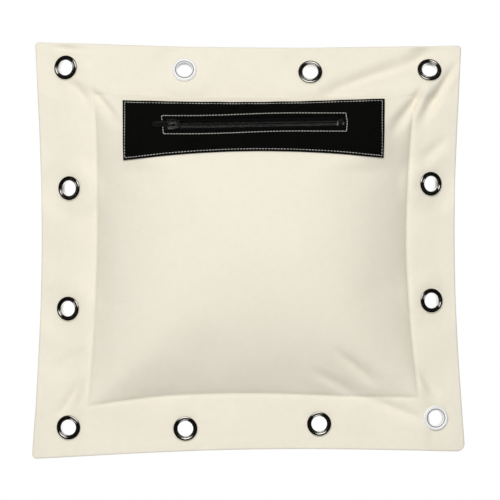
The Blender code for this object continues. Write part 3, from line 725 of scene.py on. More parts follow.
class NodeBench:
    """Adds and links the nodes of one tree."""

    def __init__(self, tree: bpy.types.NodeTree) -> None:
        """Start on an empty tree."""
        self.tree = tree
        self.count = 0

    def add(self, kind: str, feeds: dict | None = None, **settings: object) -> bpy.types.Node:
        """Add a node.

        Args:
            kind: the node's type, without its ShaderNode prefix.
            feeds: a value or an output socket for each input, by name or number.
            **settings: properties of the node.

        Returns:
            The new node.
        """
        node = self.tree.nodes.new("ShaderNode" + kind)
        node.location = (self.count * 190 - 1200, (self.count % 5) * -170)
        self.count += 1
        for name, value in settings.items():
            setattr(node, name, value)
        self.feed(node, feeds or {})
        return node

    def feed(self, node: bpy.types.Node, feeds: dict) -> None:
        """Give a node's inputs their values or sockets, by name or number."""
        for key, value in feeds.items():
            if isinstance(value, Socket):
                self.tree.links.new(value, node.inputs[key])
            else:
                node.inputs[key].default_value = value

    def maths(self, operation: str, *values: object) -> Socket:
        """Output of a Math node on values or sockets."""
        feeds = dict(enumerate(values))
        return self.add("Math", feeds, operation=operation).outputs[0]

    def noise(self, vector: Socket, scale: float | Socket, detail: float = 2.0) -> Socket:
        """Output of a noise of a scale, from 0 to 1."""
        feeds = {"Vector": vector, "Scale": scale, "Detail": detail}
        return self.add("TexNoise", feeds).outputs["Fac"]

    def spread(self, value: Socket, low: float, high: float, start: float, end: float) -> Socket:
        """Map a value from low and high to start and end, held at its ends."""
        feeds = {"Value": value, 1: low, 2: high, 3: start, 4: end}
        return self.add("MapRange", feeds).outputs[0]

    def blend(self, share: Socket, first: object, second: object) -> Socket:
        """Mix two colours by a share."""
        ends = [(*c, 1) if isinstance(c, tuple) else c for c in (first, second)]
        feeds = {0: share, 6: ends[0], 7: ends[1]}
        return self.add("Mix", feeds, data_type="RGBA").outputs[2]

    def bump(self, height: Socket, distance: float, strength: float) -> Socket:
        """Normal of a relief of a height."""
        feeds = {"Height": height, "Distance": distance, "Strength": strength}
        return self.add("Bump", feeds).outputs[0]


def start_group(
    name: str, inputs: dict[str, float], outputs: tuple[str, ...]
) -> tuple[NodeBench, dict[str, Socket], bpy.types.Node]:
    """Start a node group that reads a vector and some numbers, and gives numbers.

    Args:
        name: the group's name.
        inputs: the first value of each number.
        outputs: the outputs' names.

    Returns:
        A bench on the group, its input sockets by name, and its output node.
    """
    tree = bpy.data.node_groups.new(name, "ShaderNodeTree")
    add = tree.interface.new_socket
    add(name="Vector", in_out="INPUT", socket_type="NodeSocketVector")
    for label, value in inputs.items():
        add(name=label, in_out="INPUT", socket_type="NodeSocketFloat").default_value = value
    for label in outputs:
        add(name=label, in_out="OUTPUT", socket_type="NodeSocketFloat")
    source = tree.nodes.new("NodeGroupInput")
    source.location = (-1500, 0)
    sink = tree.nodes.new("NodeGroupOutput")
    sink.location = (1500, 0)
    return NodeBench(tree), {s.name: s for s in source.outputs if s.name}, sink


def weave_group() -> bpy.types.NodeTree:
    """Plain weave: thread height, and how deep a place lies between the threads."""
    start = {"Threads": 1300.0, "Slubs": 0.2}
    bench, feed, sink = start_group("plain_weave", start, ("Height", "Tone"))
    wander = bench.noise(feed["Vector"], 55.0, 3.0)
    wander = bench.maths("MULTIPLY", bench.maths("SUBTRACT", wander, 0.5), 1.6)
    split = bench.add("SeparateXYZ", {0: feed["Vector"]})
    turns = []
    for axis in (0, 1):
        turn = bench.maths("MULTIPLY", split.outputs[axis], feed["Threads"])
        turn = bench.maths("ADD", turn, wander)
        turns.append(bench.maths("SINE", bench.maths("MULTIPLY", turn, math.pi)))
    over = bench.maths("MULTIPLY", turns[0], turns[1])
    over = bench.spread(over, -0.5, 0.5, -1.0, 1.0)
    crests = []
    for turn, sign in ((turns[0], 0.38), (turns[1], -0.38)):
        lift = bench.maths("MULTIPLY_ADD", over, sign, 0.62)
        crests.append(bench.maths("MULTIPLY", bench.maths("ABSOLUTE", turn), lift))
    height = bench.maths("MAXIMUM", crests[0], crests[1])
    slubs = []
    for scale in ((60.0, 900.0, 1.0), (900.0, 60.0, 1.0)):
        drawn_out = bench.add("Mapping", {"Vector": feed["Vector"], "Scale": scale})
        slubs.append(bench.noise(drawn_out.outputs[0], 1.0, 1.0))
    slub = bench.spread(bench.maths("MAXIMUM", *slubs), 0.55, 0.8, 0.0, 1.0)
    raised = bench.maths("MULTIPLY", slub, feed["Slubs"])
    tone = bench.maths("MULTIPLY_ADD", raised, 0.5, height)
    bench.feed(sink, {"Height": bench.maths("ADD", height, raised), "Tone": tone})
    return bench.tree


def mottle_group() -> bpy.types.NodeTree:
    """Cloudy change over a surface, at a coarse and a fine scale."""
    start = {"Coarse": 12.0, "Fine": 160.0}
    bench, feed, sink = start_group("mottle", start, ("Clouds", "Specks"))
    for label, scale, detail in (("Clouds", "Coarse", 4.0), ("Specks", "Fine", 3.0)):
        value = bench.noise(feed["Vector"], feed[scale], detail)
        bench.feed(sink, {label: bench.spread(value, 0.3, 0.7, 0.0, 1.0)})
    return bench.tree


def scuff_group() -> bpy.types.NodeTree:
    """Fine scratches and handling marks on metal: a mask, and a height for its bump."""
    bench, feed, sink = start_group("scuffs", {"Scale": 300.0}, ("Mask", "Height"))
    feeds = {"Vector": feed["Vector"], "Scale": (1.0, 1.0, 9.0), "Rotation": (0.4, 0.3, 0.6)}
    smear = bench.add("Mapping", feeds)
    lines = bench.noise(smear.outputs[0], feed["Scale"], 5.0)
    cloud = bench.noise(feed["Vector"], 90.0, 3.0)
    mask = bench.maths("MULTIPLY", bench.spread(lines, 0.5, 0.75, 0.0, 1.0), cloud)
    bench.feed(sink, {"Mask": mask, "Height": lines})
    return bench.tree


@dataclass
class Groups:
    """The node groups that the finishes share."""

    weave: bpy.types.NodeTree = field(default_factory=weave_group)
    mottle: bpy.types.NodeTree = field(default_factory=mottle_group)
    scuffs: bpy.types.NodeTree = field(default_factory=scuff_group)


def start_material(name: str) -> tuple[NodeBench, bpy.types.Node]:
    """Material with nodes, and its Principled shader."""
    material = bpy.data.materials.new(name)
    material.use_nodes = True
    return NodeBench(material.node_tree), material.node_tree.nodes["Principled BSDF"]


@dataclass(frozen=True)
class Finish:
    """A surface: its name, its colour, and the second colour mixed in as painted shade, tone or
    wear.
    """

    name: str
    colour: Colour
    shade: Colour

    def surface(self, bench: NodeBench, groups: Groups) -> dict[str, object]:
        """What feeds each input of the shader."""
        raise NotImplementedError

    def material(self, groups: Groups) -> bpy.types.Material:
        """Build the material.

        Args:
            groups: the shared node groups.

        Returns:
            The material, or the frame's own plain one where that has the same name.
        """
        bench, shader = start_material(self.name)
        bench.feed(shader, self.surface(bench, groups))
        return bpy.data.materials[self.name]


@dataclass(frozen=True)
class ClothFinish(Finish):
    """Woven cloth, which reads its own UV map: threads to the metre, relief and tone."""

    threads: float
    relief: float
    slubs: float = 0.25
    clouds: float = 0.5
    roughness: float = 0.9
    sheen: float = 0.1
    specular: float = 0.25

    def surface(self, bench: NodeBench, groups: Groups) -> dict[str, object]:
        """Threads over and under, with clouds and specks of tone, and painted shade between the
        threads.
        """
        uv = bench.add("UVMap", uv_map="cut").outputs["UV"]
        feeds = {"Vector": uv, "Threads": self.threads, "Slubs": self.slubs}
        weave = bench.add("Group", feeds, node_tree=groups.weave)
        mottle = bench.add("Group", {"Vector": uv}, node_tree=groups.mottle)
        tone = weave.outputs["Tone"]
        cloud = bench.maths("MULTIPLY", mottle.outputs["Clouds"], self.clouds * 0.5)
        speck = bench.maths("MULTIPLY", mottle.outputs["Specks"], self.clouds * 0.4)
        # Painted shade: the colour darkens where a place lies deep between the threads.
        between = bench.spread(tone, 0.2, 0.9, 0.55, 0.0)
        share = bench.maths("ADD", bench.maths("ADD", between, cloud), speck)
        fuzz = bench.noise(uv, 2600.0, 2.0)
        height = bench.maths("MULTIPLY_ADD", fuzz, 0.25, weave.outputs["Height"])
        deep = min(self.roughness + 0.06, 1.0)
        return {
            "Base Color": bench.blend(share, self.colour, self.shade),
            "Roughness": bench.spread(tone, 0.0, 1.0, deep, self.roughness),
            "Sheen Weight": self.sheen,
            "Sheen Roughness": 0.5,
            "Specular IOR Level": self.specular,
            "Normal": bench.bump(height, self.relief, 1.0),
        }


@dataclass(frozen=True)
class ThreadFinish(Finish):
    """Twisted sewing thread: stripes of ply that run round each stitch."""

    def surface(self, bench: NodeBench, groups: Groups) -> dict[str, object]:
        """Ply and specks, in object coordinates."""
        place = bench.add("TexCoord").outputs["Object"]
        turned = bench.add("Mapping", {"Vector": place, "Rotation": (0.6, 0.5, 0.8)}).outputs[0]
        feeds = {"Vector": turned, "Scale": 900.0, "Distortion": 1.5, "Detail": 1.0}
        ply = bench.add("TexWave", feeds).outputs["Fac"]
        mottle = bench.add("Group", {"Vector": place}, node_tree=groups.mottle)
        specks = bench.maths("MULTIPLY", mottle.outputs["Specks"], 0.4)
        share = bench.maths("MULTIPLY_ADD", ply, 0.35, specks)
        return {
            "Base Color": bench.blend(share, self.colour, self.shade),
            "Roughness": bench.spread(ply, 0, 1, 0.75, 0.6),
            "Sheen Weight": 0.2,
            "Normal": bench.bump(ply, 0.0001, 0.6),
        }


@dataclass(frozen=True)
class MetalFinish(Finish):
    """Plated or enamelled metal, with scuffs that dull it, and any painted shade lines."""

    metallic: float
    roughness: float
    scuffed: float
    coat: float = 0.0
    relief: float = 0.00002
    painted_shade: Colour = (0.06, 0.06, 0.057)
    # Painted shade lines round a ring, standing in for the shade in its groove and at its outer
    # edge: share of its radius, half width and strength of each
    lines: tuple[Place, ...] = ()

    def surface(self, bench: NodeBench, groups: Groups) -> dict[str, object]:
        """Scuffs and specks, in object coordinates, and any painted shade lines."""
        place = bench.add("TexCoord").outputs["Object"]
        scuffs = bench.add("Group", {"Vector": place}, node_tree=groups.scuffs)
        mottle = bench.add("Group", {"Vector": place}, node_tree=groups.mottle)
        mask = bench.maths("MULTIPLY", scuffs.outputs["Mask"], 0.6)
        mask = bench.maths("MULTIPLY_ADD", mottle.outputs["Specks"], 0.15, mask)
        colour = bench.blend(mask, self.colour, self.shade)
        # Painted shade: dark lines at the ring's groove and outer edge, read off its radius.
        for share, reach, strength in self.lines:
            ring = bench.add("UVMap", uv_map="ring").outputs[0]
            out = bench.add("SeparateXYZ", {0: ring}).outputs[0]
            off = bench.maths("ABSOLUTE", bench.maths("SUBTRACT", out, share))
            painted_shade_share = bench.spread(off, 0.3 * reach, reach, strength, 0.0)
            colour = bench.blend(painted_shade_share, colour, self.painted_shade)
        return {
            "Base Color": colour,
            "Roughness": bench.spread(mask, 0, 0.6, self.roughness, self.roughness + self.scuffed),
            "Metallic": self.metallic,
            "Coat Weight": self.coat,
            "Coat Roughness": 0.08,
            "Normal": bench.bump(scuffs.outputs["Height"], self.relief, 0.25),
        }


CLOTHS = {
    "canvas": ClothFinish(
        "cream_canvas", (0.870, 0.822, 0.702), (0.790, 0.735, 0.610), 1450.0, 0.00010
    ),
    "stuffing": ClothFinish(
        "grey_felt", (0.50, 0.48, 0.45), (0.30, 0.29, 0.28), 500.0, 0.0006, 0.8, 1.0, 0.97
    ),
    "patch": ClothFinish(
        "black_cloth", (0.0045, 0.0045, 0.0041), (0.0015, 0.0015, 0.0014), 2400.0, 0.00006,
        slubs=0.2, clouds=0.6, roughness=0.85, sheen=0.0, specular=0.06,
    ),
    "tape": ClothFinish(
        "black_tape", (0.0055, 0.0055, 0.0055), (0.0015, 0.0015, 0.0015), 1500.0, 0.00009,
        slubs=0.1, clouds=0.5, roughness=0.80, sheen=0.0, specular=0.08,
    ),
}
THREADS = {
    "grey_thread": ThreadFinish("grey_thread", (0.84, 0.84, 0.78), (0.60, 0.60, 0.55)),
    "cream_thread": ThreadFinish("cream_thread", (0.84, 0.79, 0.67), (0.66, 0.61, 0.50)),
}
METALS = {
    "coil": MetalFinish(
        "black_nylon", (0.005, 0.005, 0.005), (0.014, 0.014, 0.014), 0.0, 0.42, 0.2
    ),
    "enamel": MetalFinish(
        "black_enamel", (0.005, 0.005, 0.005), (0.020, 0.019, 0.018), 0.0, 0.16, 0.20, 0.4
    ),
    "plate": MetalFinish(
        "black_nickel", (0.42, 0.42, 0.41), (0.50, 0.50, 0.49), 1.0, 0.24, 0.18
    ),
    "bright": MetalFinish(
        "bright_nickel", (0.90, 0.88, 0.83), (0.62, 0.61, 0.60), 1.0, 0.06, 0.22
    ),
    # Two eyelets painted near white and barely metallic: a painted reflection of the bright light
    # they show.
    "painted_white": MetalFinish(
        "painted_white_nickel", (0.97, 0.97, 0.965), (0.86, 0.86, 0.85), 0.10, 0.24, 0.20,
        lines=((0.715, 0.050, 0.85), (0.915, 0.026, 0.35)),
    ),
}


@dataclass
class Wardrobe:
    """Every finish on the bag, made into materials once."""

    groups: Groups = field(default_factory=Groups)

    def __post_init__(self) -> None:
        """Make the materials."""
        finishes = {**CLOTHS, **THREADS, **METALS}
        self.materials = {key: finish.material(self.groups) for key, finish in finishes.items()}

    def fit(
        self, item: Piece, key: str, slot: str, node: str, body: str = "bag"
    ) -> None:
        """Finish a piece, attach it to its body, and hide the node that it replaces.

        Args:
            item: the piece.
            key: its finish.
            slot: the record's material slot; not used.
            node: the node that it replaces.
            body: the body that carries it.
        """
        item.data.materials.clear()
        item.data.materials.append(self.materials[key])
        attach(item, body)
        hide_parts(node)
        log.info("%s: %d faces, %s", item.name, len(item.data.polygons), key)


# ---------------------------------------------------------------------------------------
# Sub-assemblies
# ---------------------------------------------------------------------------------------


@dataclass
class Shell:
    """The two canvas panels and the filling between them."""

    pattern: Pattern
    wardrobe: Wardrobe
    cell: float = 0.0024
    back_cell: float = 0.0032
    hole: float = 0.0086
    slot_length: float = 0.1696
    slot_width: float = 0.0140
    bolster_cell: float = 0.0060
    hem_step: float = 0.00015
    hem_fade: float = 0.0015
    bolster_inset: float = 0.0025
    bolster_gap: float = 0.0005
    least_half: float = 0.0002
    # Half length, half width and depth of the hollow behind the zip
    hollow: Place = (0.090, 0.0085, 0.0034)
    hollow_fade: float = 0.008
    lift_limit: float = 0.0030
    frames: int = 20
    margin: float = 0.010

    def lines(self, low: Side, high: Side, cell: float) -> Array:
        """Grid lines from one side to the other, finer at the edges and at the seam."""
        edge, seam = self.pattern.edge, self.pattern.seam
        near_edge = (0.0, 0.0001, 0.0003, 0.0006, 0.0010, 0.0015, 0.0025, 0.0045)
        near_seam = (-0.0040, -0.0024, -0.0012, 0.0, 0.0012, 0.0024, 0.0040)
        stops = [edge[low] + d for d in near_edge] + [edge[high] - d for d in near_edge]
        stops += [seam[low] + d for d in near_seam] + [seam[high] - d for d in near_seam]
        return lines_through(stops, cell)

    def sheet_grid(self, cell: float) -> tuple[Array, Array, int, int]:
        """Cut places of a panel's grid, and its counts of columns and rows."""
        columns = self.lines(Side.LEFT, Side.RIGHT, cell)
        rows = self.lines(Side.BOTTOM, Side.TOP, cell)
        return *grid_places(columns, rows), len(columns), len(rows)

    def pierced(
        self, cx: Array, cz: Array, faces: Faces, slotted: bool
    ) -> tuple[Array, Array, Faces]:
        """Leave out the faces in the holes, and draw the hole's edges round.

        Args:
            cx: cut places across, one for each point.
            cz: cut places up.
            faces: the grid's faces.
            slotted: True where the zip's slot is cut too.

        Returns:
            The moved cut places and the faces that stay.
        """
        corners = np.array(faces)
        middle_x, middle_z = cx[corners].mean(axis=1), cz[corners].mean(axis=1)
        keep = np.ones(len(faces), dtype=bool)
        new_x, new_z = cx.copy(), cz.copy()
        for px, pz in self.pattern.holes.values():
            gone = np.hypot(middle_x - px, middle_z - pz) < self.hole
            rim = np.intersect1d(corners[gone & keep].ravel(), corners[~gone].ravel())
            reach = np.hypot(cx[rim] - px, cz[rim] - pz)
            new_x[rim] = px + (cx[rim] - px) * self.hole / reach
            new_z[rim] = pz + (cz[rim] - pz) * self.hole / reach
            keep &= ~gone
        if slotted:
            x, z = self.pattern.sewn(middle_x, middle_z)
            tilt = math.tan(self.pattern.zip_tilt)
            right = x - self.pattern.zip_centre.x
            up = (z - self.pattern.zip_centre.z) / self.pattern.zip_cos - right * tilt
            keep &= ~((np.abs(right) < self.slot_length / 2) & (np.abs(up) < self.slot_width / 2))
        return new_x, new_z, [face for face, stays in zip(faces, keep) if stays]

    def panel(self, name: str, cell: float, front: bool) -> Piece:
        """Build one canvas panel with its holes and turned edge.

        Args:
            name: the piece's name.
            cell: width of its grid cells.
            front: True for the front panel.

        Returns:
            The panel, a closed sheet of the canvas's thickness.
        """
        pattern = self.pattern
        cx, cz, columns, rows = self.sheet_grid(cell)
        faces = grid_faces(columns, rows, turned=not front)
        edge = pattern.edge_distance(cx, cz)
        round_x, round_z = pattern.rounded(cx, cz)
        round_x, round_z, faces = self.pierced(round_x, round_z, faces, front)
        place = pattern.front if front else pattern.back
        points = place(round_x, round_z)
        hemmed = 1 - ease((edge - pattern.hem) / self.hem_fade)
        turn = pattern.turned_in(edge) - self.hem_step * hemmed
        points[:, 1] += turn if front else -turn
        item = add_mesh(name, points, faces, np.stack([round_x, round_z], axis=-1))
        thicken(item, pattern.canvas)
        return item

    def bolster_lines(self, low: Side, high: Side) -> Array:
        """Grid lines of the filling from one side to the other, finer at its ends."""
        low_end = self.pattern.seam[low] + self.bolster_inset
        high_end = self.pattern.seam[high] - self.bolster_inset
        rounding = (0.0, 0.0015, 0.0040)
        stops = [low_end + d for d in rounding] + [high_end - d for d in rounding]
        return lines_through(stops, self.bolster_cell)

    def bolster_depth(self, cx: Array, cz: Array) -> Array:
        """How far the filling stays below the front panel's face: more by folds and the zip."""
        pattern = self.pattern
        x, z = pattern.sewn(cx, cz)
        half_x, half_z, depth = self.hollow
        past_x = np.abs(x - pattern.zip_centre.x) - half_x
        past_z = np.abs(z - pattern.zip_centre.z) / pattern.zip_cos - half_z
        hollow = (1 - ease(past_x / self.hollow_fade)) * (1 - ease(past_z / self.hollow_fade))
        reach = (-0.0040, -0.0020, 0.0, 0.0020, 0.0040)
        nearby = [pattern.folds(cx + right, cz + up) for right in reach for up in reach]
        below = np.maximum(pattern.folds(cx, cz) - np.min(nearby, axis=0), 0.0)
        return pattern.canvas + self.bolster_gap + depth * hollow + below

    def bolster(self) -> Piece:
        """The filling: a full crowned cushion, hollowed behind the zip for its slider."""
        pattern = self.pattern
        across = self.bolster_lines(Side.LEFT, Side.RIGHT)
        upward = self.bolster_lines(Side.BOTTOM, Side.TOP)
        cx, cz = grid_places(across, upward)
        middle_x, middle_z = (across[0] + across[-1]) / 2, (upward[0] + upward[-1]) / 2
        half_x, half_z = (across[-1] - across[0]) / 2, (upward[-1] - upward[0]) / 2
        u, v = (cx - middle_x) / half_x, (cz - middle_z) / half_z
        shrink = np.maximum(np.abs(u), np.abs(v)) / np.maximum((u**6 + v**6) ** (1 / 6), 1e-9)
        cx, cz = middle_x + (cx - middle_x) * shrink, middle_z + (cz - middle_z) * shrink
        normal = pattern.front_normal(cx, cz)
        front = pattern.front(cx, cz) - normal * self.bolster_depth(cx, cz)[:, None]
        rear = pattern.back(cx, cz) - np.array([0, pattern.canvas + self.bolster_gap, 0])
        halfway = (front[:, 1] + rear[:, 1]) / 2
        front[:, 1] = np.minimum(front[:, 1], halfway - self.least_half)
        rear[:, 1] = np.maximum(rear[:, 1], halfway + self.least_half)
        count = len(cx)
        columns, rows = len(across), len(upward)
        faces = grid_faces(columns, rows)
        faces += [tuple(i + count for i in f) for f in grid_faces(columns, rows, turned=True)]
        last = (columns - 1) * rows
        border = [*range(0, last + 1, rows), *range(last + 1, last + rows)]
        border += [*range(last - 1, rows - 2, -rows), *range(rows - 2, 0, -1)]
        for a, b in zip(border, border[1:] + border[:1]):
            faces.append((b, a, a + count, b + count))
        uv = np.stack([cx, cz], axis=-1)
        item = add_mesh("stuffing", np.concatenate([front, rear]), faces, np.concatenate([uv, uv]))
        with shaping(item):
            bpy.ops.mesh.normals_make_consistent(inside=False)
        return item

    def fill_with_air(self, item: Piece, held: Array) -> Array:
        """Run a cloth simulation that blows the canvas up.

        Args:
            item: the coarse canvas.
            held: how firmly each of its points is held, 0 to 1.

        Returns:
            The points after the simulation.
        """
        pins = item.vertex_groups.new(name="sewn_down")
        for i, weight in enumerate(held):
            pins.add([i], float(weight), "REPLACE")
        cloth = item.modifiers.new("cloth", "CLOTH")
        for name, value in {
            "vertex_group_mass": "sewn_down",
            "quality": 6,
            "mass": 0.4,
            "tension_stiffness": 25.0,
            "compression_stiffness": 25.0,
            "shear_stiffness": 12.0,
            "bending_stiffness": 4.0,
            "shrink_min": -0.004,
            "use_pressure": True,
            "uniform_pressure_force": 4.0,
        }.items():
            setattr(cloth.settings, name, value)
        cloth.settings.effector_weights.gravity = 0.0
        cloth.point_cache.frame_start = 1
        cloth.point_cache.frame_end = self.frames
        for frame in range(1, self.frames + 1):
            bpy.context.scene.frame_set(frame)
        blown = item.evaluated_get(bpy.context.evaluated_depsgraph_get()).to_mesh()
        moved = np.empty(len(blown.vertices) * 3)
        blown.vertices.foreach_get("co", moved)
        bpy.context.scene.frame_set(1)
        return moved.reshape(-1, 3)

    def blow_up(self) -> None:
        """Let a cloth simulation fill the crown, and keep the swelling for the fine panels."""
        pattern = self.pattern
        columns, rows = (
            np.linspace(pattern.seam[low] - self.margin, pattern.seam[high] + self.margin, count)
            for low, high, count in ((Side.LEFT, Side.RIGHT, 52), (Side.BOTTOM, Side.TOP, 50))
        )
        cx, cz = grid_places(columns, rows)
        start = pattern.front(cx, cz)
        item = add_mesh("blown_canvas", start, grid_faces(len(columns), len(rows)))
        x, z = pattern.sewn(cx, cz)
        inside = pattern.inside(cx, cz)
        held = np.maximum(1 - ease((inside - 0.002) / 0.012), pattern.held_by_tape(x, z, 0.020))
        lift = -(self.fill_with_air(item, held) - start)[:, 1]
        log.info("cloth lift from %.4f to %.4f", lift.min(), lift.max())
        lift = np.clip(lift, -self.lift_limit, self.lift_limit)
        lift *= ease((inside - 0.001) / 0.010)
        table = lift.reshape(len(columns), len(rows))
        for _ in range(3):
            wide = np.pad(table, 1, mode="edge")
            beside = wide[:-2, 1:-1] + wide[2:, 1:-1] + wide[1:-1, :-2] + wide[1:-1, 2:]
            table = table / 2 + beside / 8
        discard(item)

        def swell(px: Array, pz: Array) -> Array:
            """Swelling at cut places, read between the simulated points."""
            i = np.clip((px - columns[0]) / (columns[1] - columns[0]), 0, len(columns) - 1.001)
            j = np.clip((pz - rows[0]) / (rows[1] - rows[0]), 0, len(rows) - 1.001)
            i0, j0 = np.floor(i).astype(int), np.floor(j).astype(int)
            u, v = ease(i - i0) * 0.5 + (i - i0) * 0.5, ease(j - j0) * 0.5 + (j - j0) * 0.5
            low = table[i0, j0] * (1 - u) + table[i0 + 1, j0] * u
            high = table[i0, j0 + 1] * (1 - u) + table[i0 + 1, j0 + 1] * u
            return low * (1 - v) + high * v

        pattern.swell = swell

    def build(self) -> None:
        self.blow_up()
        stuffing = self.bolster()
        self.wardrobe.fit(stuffing, "stuffing", "filling", "filling")
        for name, node, cell, front in (
            ("front_canvas", "front_panel", self.cell, True),
            ("back_canvas", "back_panel", self.back_cell, False),
        ):
            panel = self.panel(name, cell, front)
            self.wardrobe.fit(panel, "canvas", "canvas", node)


@dataclass
class Stitching:
    """Rows of separate stitches, laid along a path on the cloth."""

    pattern: Pattern
    wardrobe: Wardrobe
    thickness: float = 0.00066
    sides: int = 6
    # Shares of the thickness: how much thinner a stitch's ends are, how far its middle
    # stands off the cloth, and how far its ends dive
    taper: float = 0.35
    stand: float = 0.25
    dive: float = 0.75
    step: float = 0.0008
    chamber_out: float = 0.0005
    chamber_pitch: float = 0.0036

    def stitch(self, length: float) -> Piece:
        """Model one stitch: a short thread whose ends dive into the cloth.

        Args:
            length: from needle hole to needle hole.

        Returns:
            The stitch, along X about its own middle, with +Z off the cloth.
        """
        item = primitive(
            "stitch",
            bpy.ops.mesh.primitive_cylinder_add,
            vertices=self.sides,
            radius=self.thickness / 2,
            depth=length,
            rotation=(0, math.pi / 2, 0),
        )
        bpy.ops.object.transform_apply(location=False, rotation=True, scale=False)
        with shaping(item):
            slice_across(*(share * length for share in (-0.36, -0.18, 0.0, 0.18, 0.36)))
            bm = bmesh.from_edit_mesh(item.data)
            for vertex in bm.verts:
                end = abs(vertex.co.x) / (length / 2)
                swell = 1.0 - self.taper * end**3
                vertex.co.y *= swell
                sunk = self.stand - self.dive * end**3
                vertex.co.z = vertex.co.z * swell + self.thickness * sunk
        return item

    def row(
        self, name: str, node: str, path: Array, normals: Array, pitch: float, key: str
    ) -> None:
        """Lay stitches along a closed path, as one piece.

        Args:
            name: the piece's name.
            node: the node that it replaces.
            path: places along the path, close together, first to last.
            normals: direction off the cloth at each.
            pitch: from needle hole to needle hole.
            key: the thread's finish.
        """
        closed = np.concatenate([path, path[:1]])
        lean = np.concatenate([normals, normals[:1]])
        steps = np.linalg.norm(np.diff(closed, axis=0), axis=1)
        reach = np.concatenate([[0.0], np.cumsum(steps)])
        count = int(round(reach[-1] / pitch))
        places = (np.arange(count) + 0.5) * reach[-1] / count
        half = reach[-1] / count * 0.44

        def at(distance: Array) -> Array:
            """Places on the path at distances along it."""
            wrapped = np.mod(distance, reach[-1])
            return np.stack([np.interp(wrapped, reach, closed[:, k]) for k in range(3)], axis=-1)

        middle, start, end = at(places), at(places - half), at(places + half)
        out = unit(np.stack([np.interp(places, reach, lean[:, k]) for k in range(3)], axis=-1))
        along = unit(end - start)
        side = unit(np.cross(out, along))
        slant = 0.05 + 0.04 * np.sin(np.arange(count) * 2.4)
        along = unit(along + side * slant[:, None])
        side = unit(np.cross(out, along))
        shape, quads = discard(self.stitch(half * 2))
        copies = [
            middle[k] + shape[:, :1] * along[k] + shape[:, 1:2] * side[k] + shape[:, 2:] * out[k]
            for k in range(count)
        ]
        item = add_copies(name, copies, quads)
        self.wardrobe.fit(item, key, key, node)
        log.info("%s: %d stitches", name, count)

    def chamber(self) -> None:
        """Sew the chamber's seam, which shows on the front and on the back."""
        pattern, out, step = self.pattern, self.chamber_out, self.step
        left, right = pattern.seam[Side.LEFT] - out, pattern.seam[Side.RIGHT] + out
        bottom, top = pattern.seam[Side.BOTTOM] - out, pattern.seam[Side.TOP] + out
        cx, cz = dense_ring([(left, bottom), (right, bottom), (right, top), (left, top)], step).T
        for name, place, sign in (
            ("chamber_stitches", pattern.front, 1),
            ("chamber_stitches_back", pattern.back, -1),
        ):
            across = place(cx + step, cz) - place(cx - step, cz)
            up = place(cx, cz + step) - place(cx, cz - step)
            normals = unit(np.cross(across, up)) * sign
            path = place(cx, cz)
            self.row(name, "chamber_seam_thread", path, normals, self.chamber_pitch, "cream_thread")


def dense_ring(corners: list[tuple[float, float]], step: float) -> Array:
    """Places close together along a closed ring of straight runs."""
    points = []
    for start, end in zip(corners, corners[1:] + corners[:1]):
        first, last = np.array(start), np.array(end)
        count = max(2, int(np.hypot(*(last - first)) / step))
        points.append(first + (last - first) * (np.arange(count) / count)[:, None])
    return np.concatenate(points)


